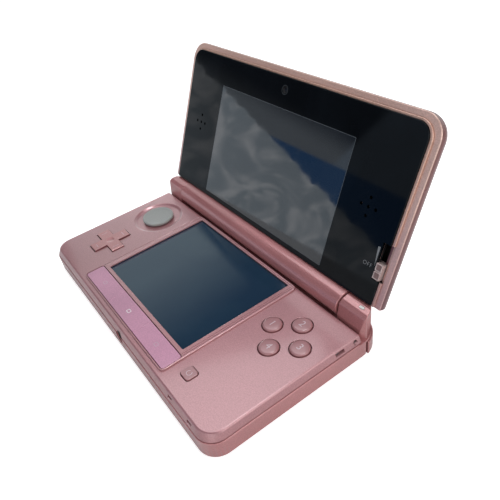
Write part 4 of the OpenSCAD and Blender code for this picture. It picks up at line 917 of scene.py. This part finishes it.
# A painted reflection: a thin grey ring round the inner lens, standing in for the grey crescent its rim
# reflects.
inner_reflection_ring = [(1.54, 13.095), (1.54, 13.075), (1.66, 13.075), (1.66, 13.095), (1.54, 13.095)]
inner_spot = opened @ Matrix.Translation(Vector((0, -29.5, 0)) * mm)
turned("inner_lens_cup", inner_cup, inner_spot, "lid", cup_black, ["inner_camera"])
turned("inner_lens_glass", inner_glass, inner_spot, "lid", lens_glass)
turned("inner_lens_reflection_ring", inner_reflection_ring, inner_spot, "lid", line_grey)
outer_cup = [(1.35, 20.05), (1.5, 20.05), (1.75, 20.6), (2.5, 20.7), (2.6, 20.8), (3.02, 20.86), (3.1, 20.78),
             (3.1, 15.3), (0.0, 15.3)]
outer_glass = [(0.0, 20.32), (0.8, 20.26), (1.4, 20.1), (1.4, 19.8), (0.0, 19.8)]
for side, lens_x, replaced in (("left", -lens_apart, ["outer_cameras"]), ("right", lens_apart, [])):
    outer_spot = opened @ Matrix.Translation((lens_x * mm, lens_spot.y, 0))
    turned("outer_" + side + "_cup", outer_cup, outer_spot, "lid", cup_black, replaced)
    turned("outer_" + side + "_glass", outer_glass, outer_spot, "lid", lens_glass)

# ---- Edges of the base -------------------------------------------------------
# Lacquered shoulder buttons at the back corners, the card door on the left, two dark
# sliding switches in the sides, and the black stylus in its tunnel at the back.
shoulder_proud = 0.4
shoulder_line = (case_high[0] + shoulder_proud, -case_low[1], case_high[1] + shoulder_proud,
                 front_corner, back_corner)
for side in ("left", "right"):
    shoulder = merged(side + "_shoulder", side + "_shoulder_key")
    round_edges(shoulder, 0.3, 3, lambda x, y, z: on_outline(x, y, *shoulder_line, 0.06), 40)
    settle(shoulder, side + "_shoulder", rose_lacquer, [side + "_shoulder"])
door = merged("sd_cover", "card_door")
door_face = measured("sd_cover")[0][0]
round_edges(door, 0.12, 2, lambda x, y, z: x < door_face + 0.05)
settle(door, "sd_cover", rose_lacquer, ["sd_cover"])
switch_grey = lacquer("switch_grey", (0.10, 0.055, 0.06), 0.1, 0.4, 0.2, 0.05, 0.03)
knob_face = measured("wireless_switch")[1][0]
for node in ("wireless_switch", "volume_slider"):
    knob = merged(node, node + "_knob")
    round_edges(knob, 0.1, 2, lambda x, y, z: abs(x) > knob_face - 0.15)
    settle(knob, node, switch_grey, [node])
stem = merged("stylus", "stylus_rod")
stylus_end = measured("stylus")[1][1]
round_edges(stem, 0.2, 3, lambda x, y, z: y > stylus_end - 0.1)
black_plastic = lacquer("black_plastic", (0.018, 0.018, 0.020), 0.0, 0.45, 0.1, 0.1, 0.05)
settle(stem, "stylus", black_plastic, ["stylus"])

# ---- Underside ---------------------------------------------------------------
# A flat plastic cover over the battery, lacquered and held by two screws, with four rubber
# feet let into it.
battery_lid = merged("battery_cover", "battery_lid")
cover_low, cover_high = measured("battery_cover")
cover_line = (cover_high[0], -cover_low[1], cover_high[1], 2.9, 2.9)
round_edges(battery_lid, 0.15, 2, lambda x, y, z: z < 0.02 and on_outline(x, y, *cover_line, 0.06))
settle(battery_lid, "base", rose_lacquer, ["battery_cover"])
grey_rubber = lacquer("grey_rubber", (0.20, 0.17, 0.18), 0.0, 0.7, 0.0, 0.2, 0.06)
feet = merged("rubber_feet", "feet")
round_edges(feet, 0.2, 3, lambda x, y, z: z < 0.02)
settle(feet, "base", grey_rubber, ["rubber_feet"])

# ---- Fittings and works ------------------------------------------------------
# What is bought in or hidden inside keeps its solid and gets its own finish: steel screws,
# pins and slots, a wrapped cell, green boards, rubber, black plastic and clear windows.
steel = lacquer("steel", (0.55, 0.55, 0.56), 1.0, 0.32, 0.0, 0.12, 0.05)
wrap = lacquer("cell_wrap", (0.075, 0.080, 0.095), 0.0, 0.5, 0.1, 0.08, 0.10)
board_green = lacquer("board_green", (0.012, 0.070, 0.030), 0.0, 0.4, 0.3, 0.20, 0.15)
dome_rubber = lacquer("dome_rubber", (0.065, 0.065, 0.075), 0.0, 0.65, 0.0, 0.15, 0.05)
smoke = lacquer("smoke", (0.020, 0.005, 0.008), 0.0, 0.08, 0.6, 0.02, 0.02)
dim_lens = lacquer("dim_lens", (0.075, 0.045, 0.045), 0.0, 0.20, 0.5, 0.03, 0.05)
clear_lens = lacquer("clear_lens", (0.80, 0.80, 0.78), 0.0, 0.12, 0.6, 0.02, 0.03)
for finish, kept in ((steel, ("cover_screws", "case_screws", "lid_screws", "hinge_pins", "shoulder_pins",
                              "chip_shield", "game_card_slot", "sd_card_slot")),
                     (wrap, ("battery",)),
                     (board_green, ("main_board", "wifi_board")),
                     (dome_rubber, ("rubber_domes", "dpad_pivot", "pad_carriage", "speakers")),
                     (black_plastic, ("circle_pad_housing", "lower_lcd", "headphone_jack", "charging_port",
                                      "microphone", "upper_lcd")),
                     (smoke, ("infrared_window",)),
                     (dim_lens, ("light_pipes",)),
                     (clear_lens, ("hinge_light",))):
    for node in kept:
        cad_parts[node].data.materials.clear()
        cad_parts[node].data.materials.append(finish)
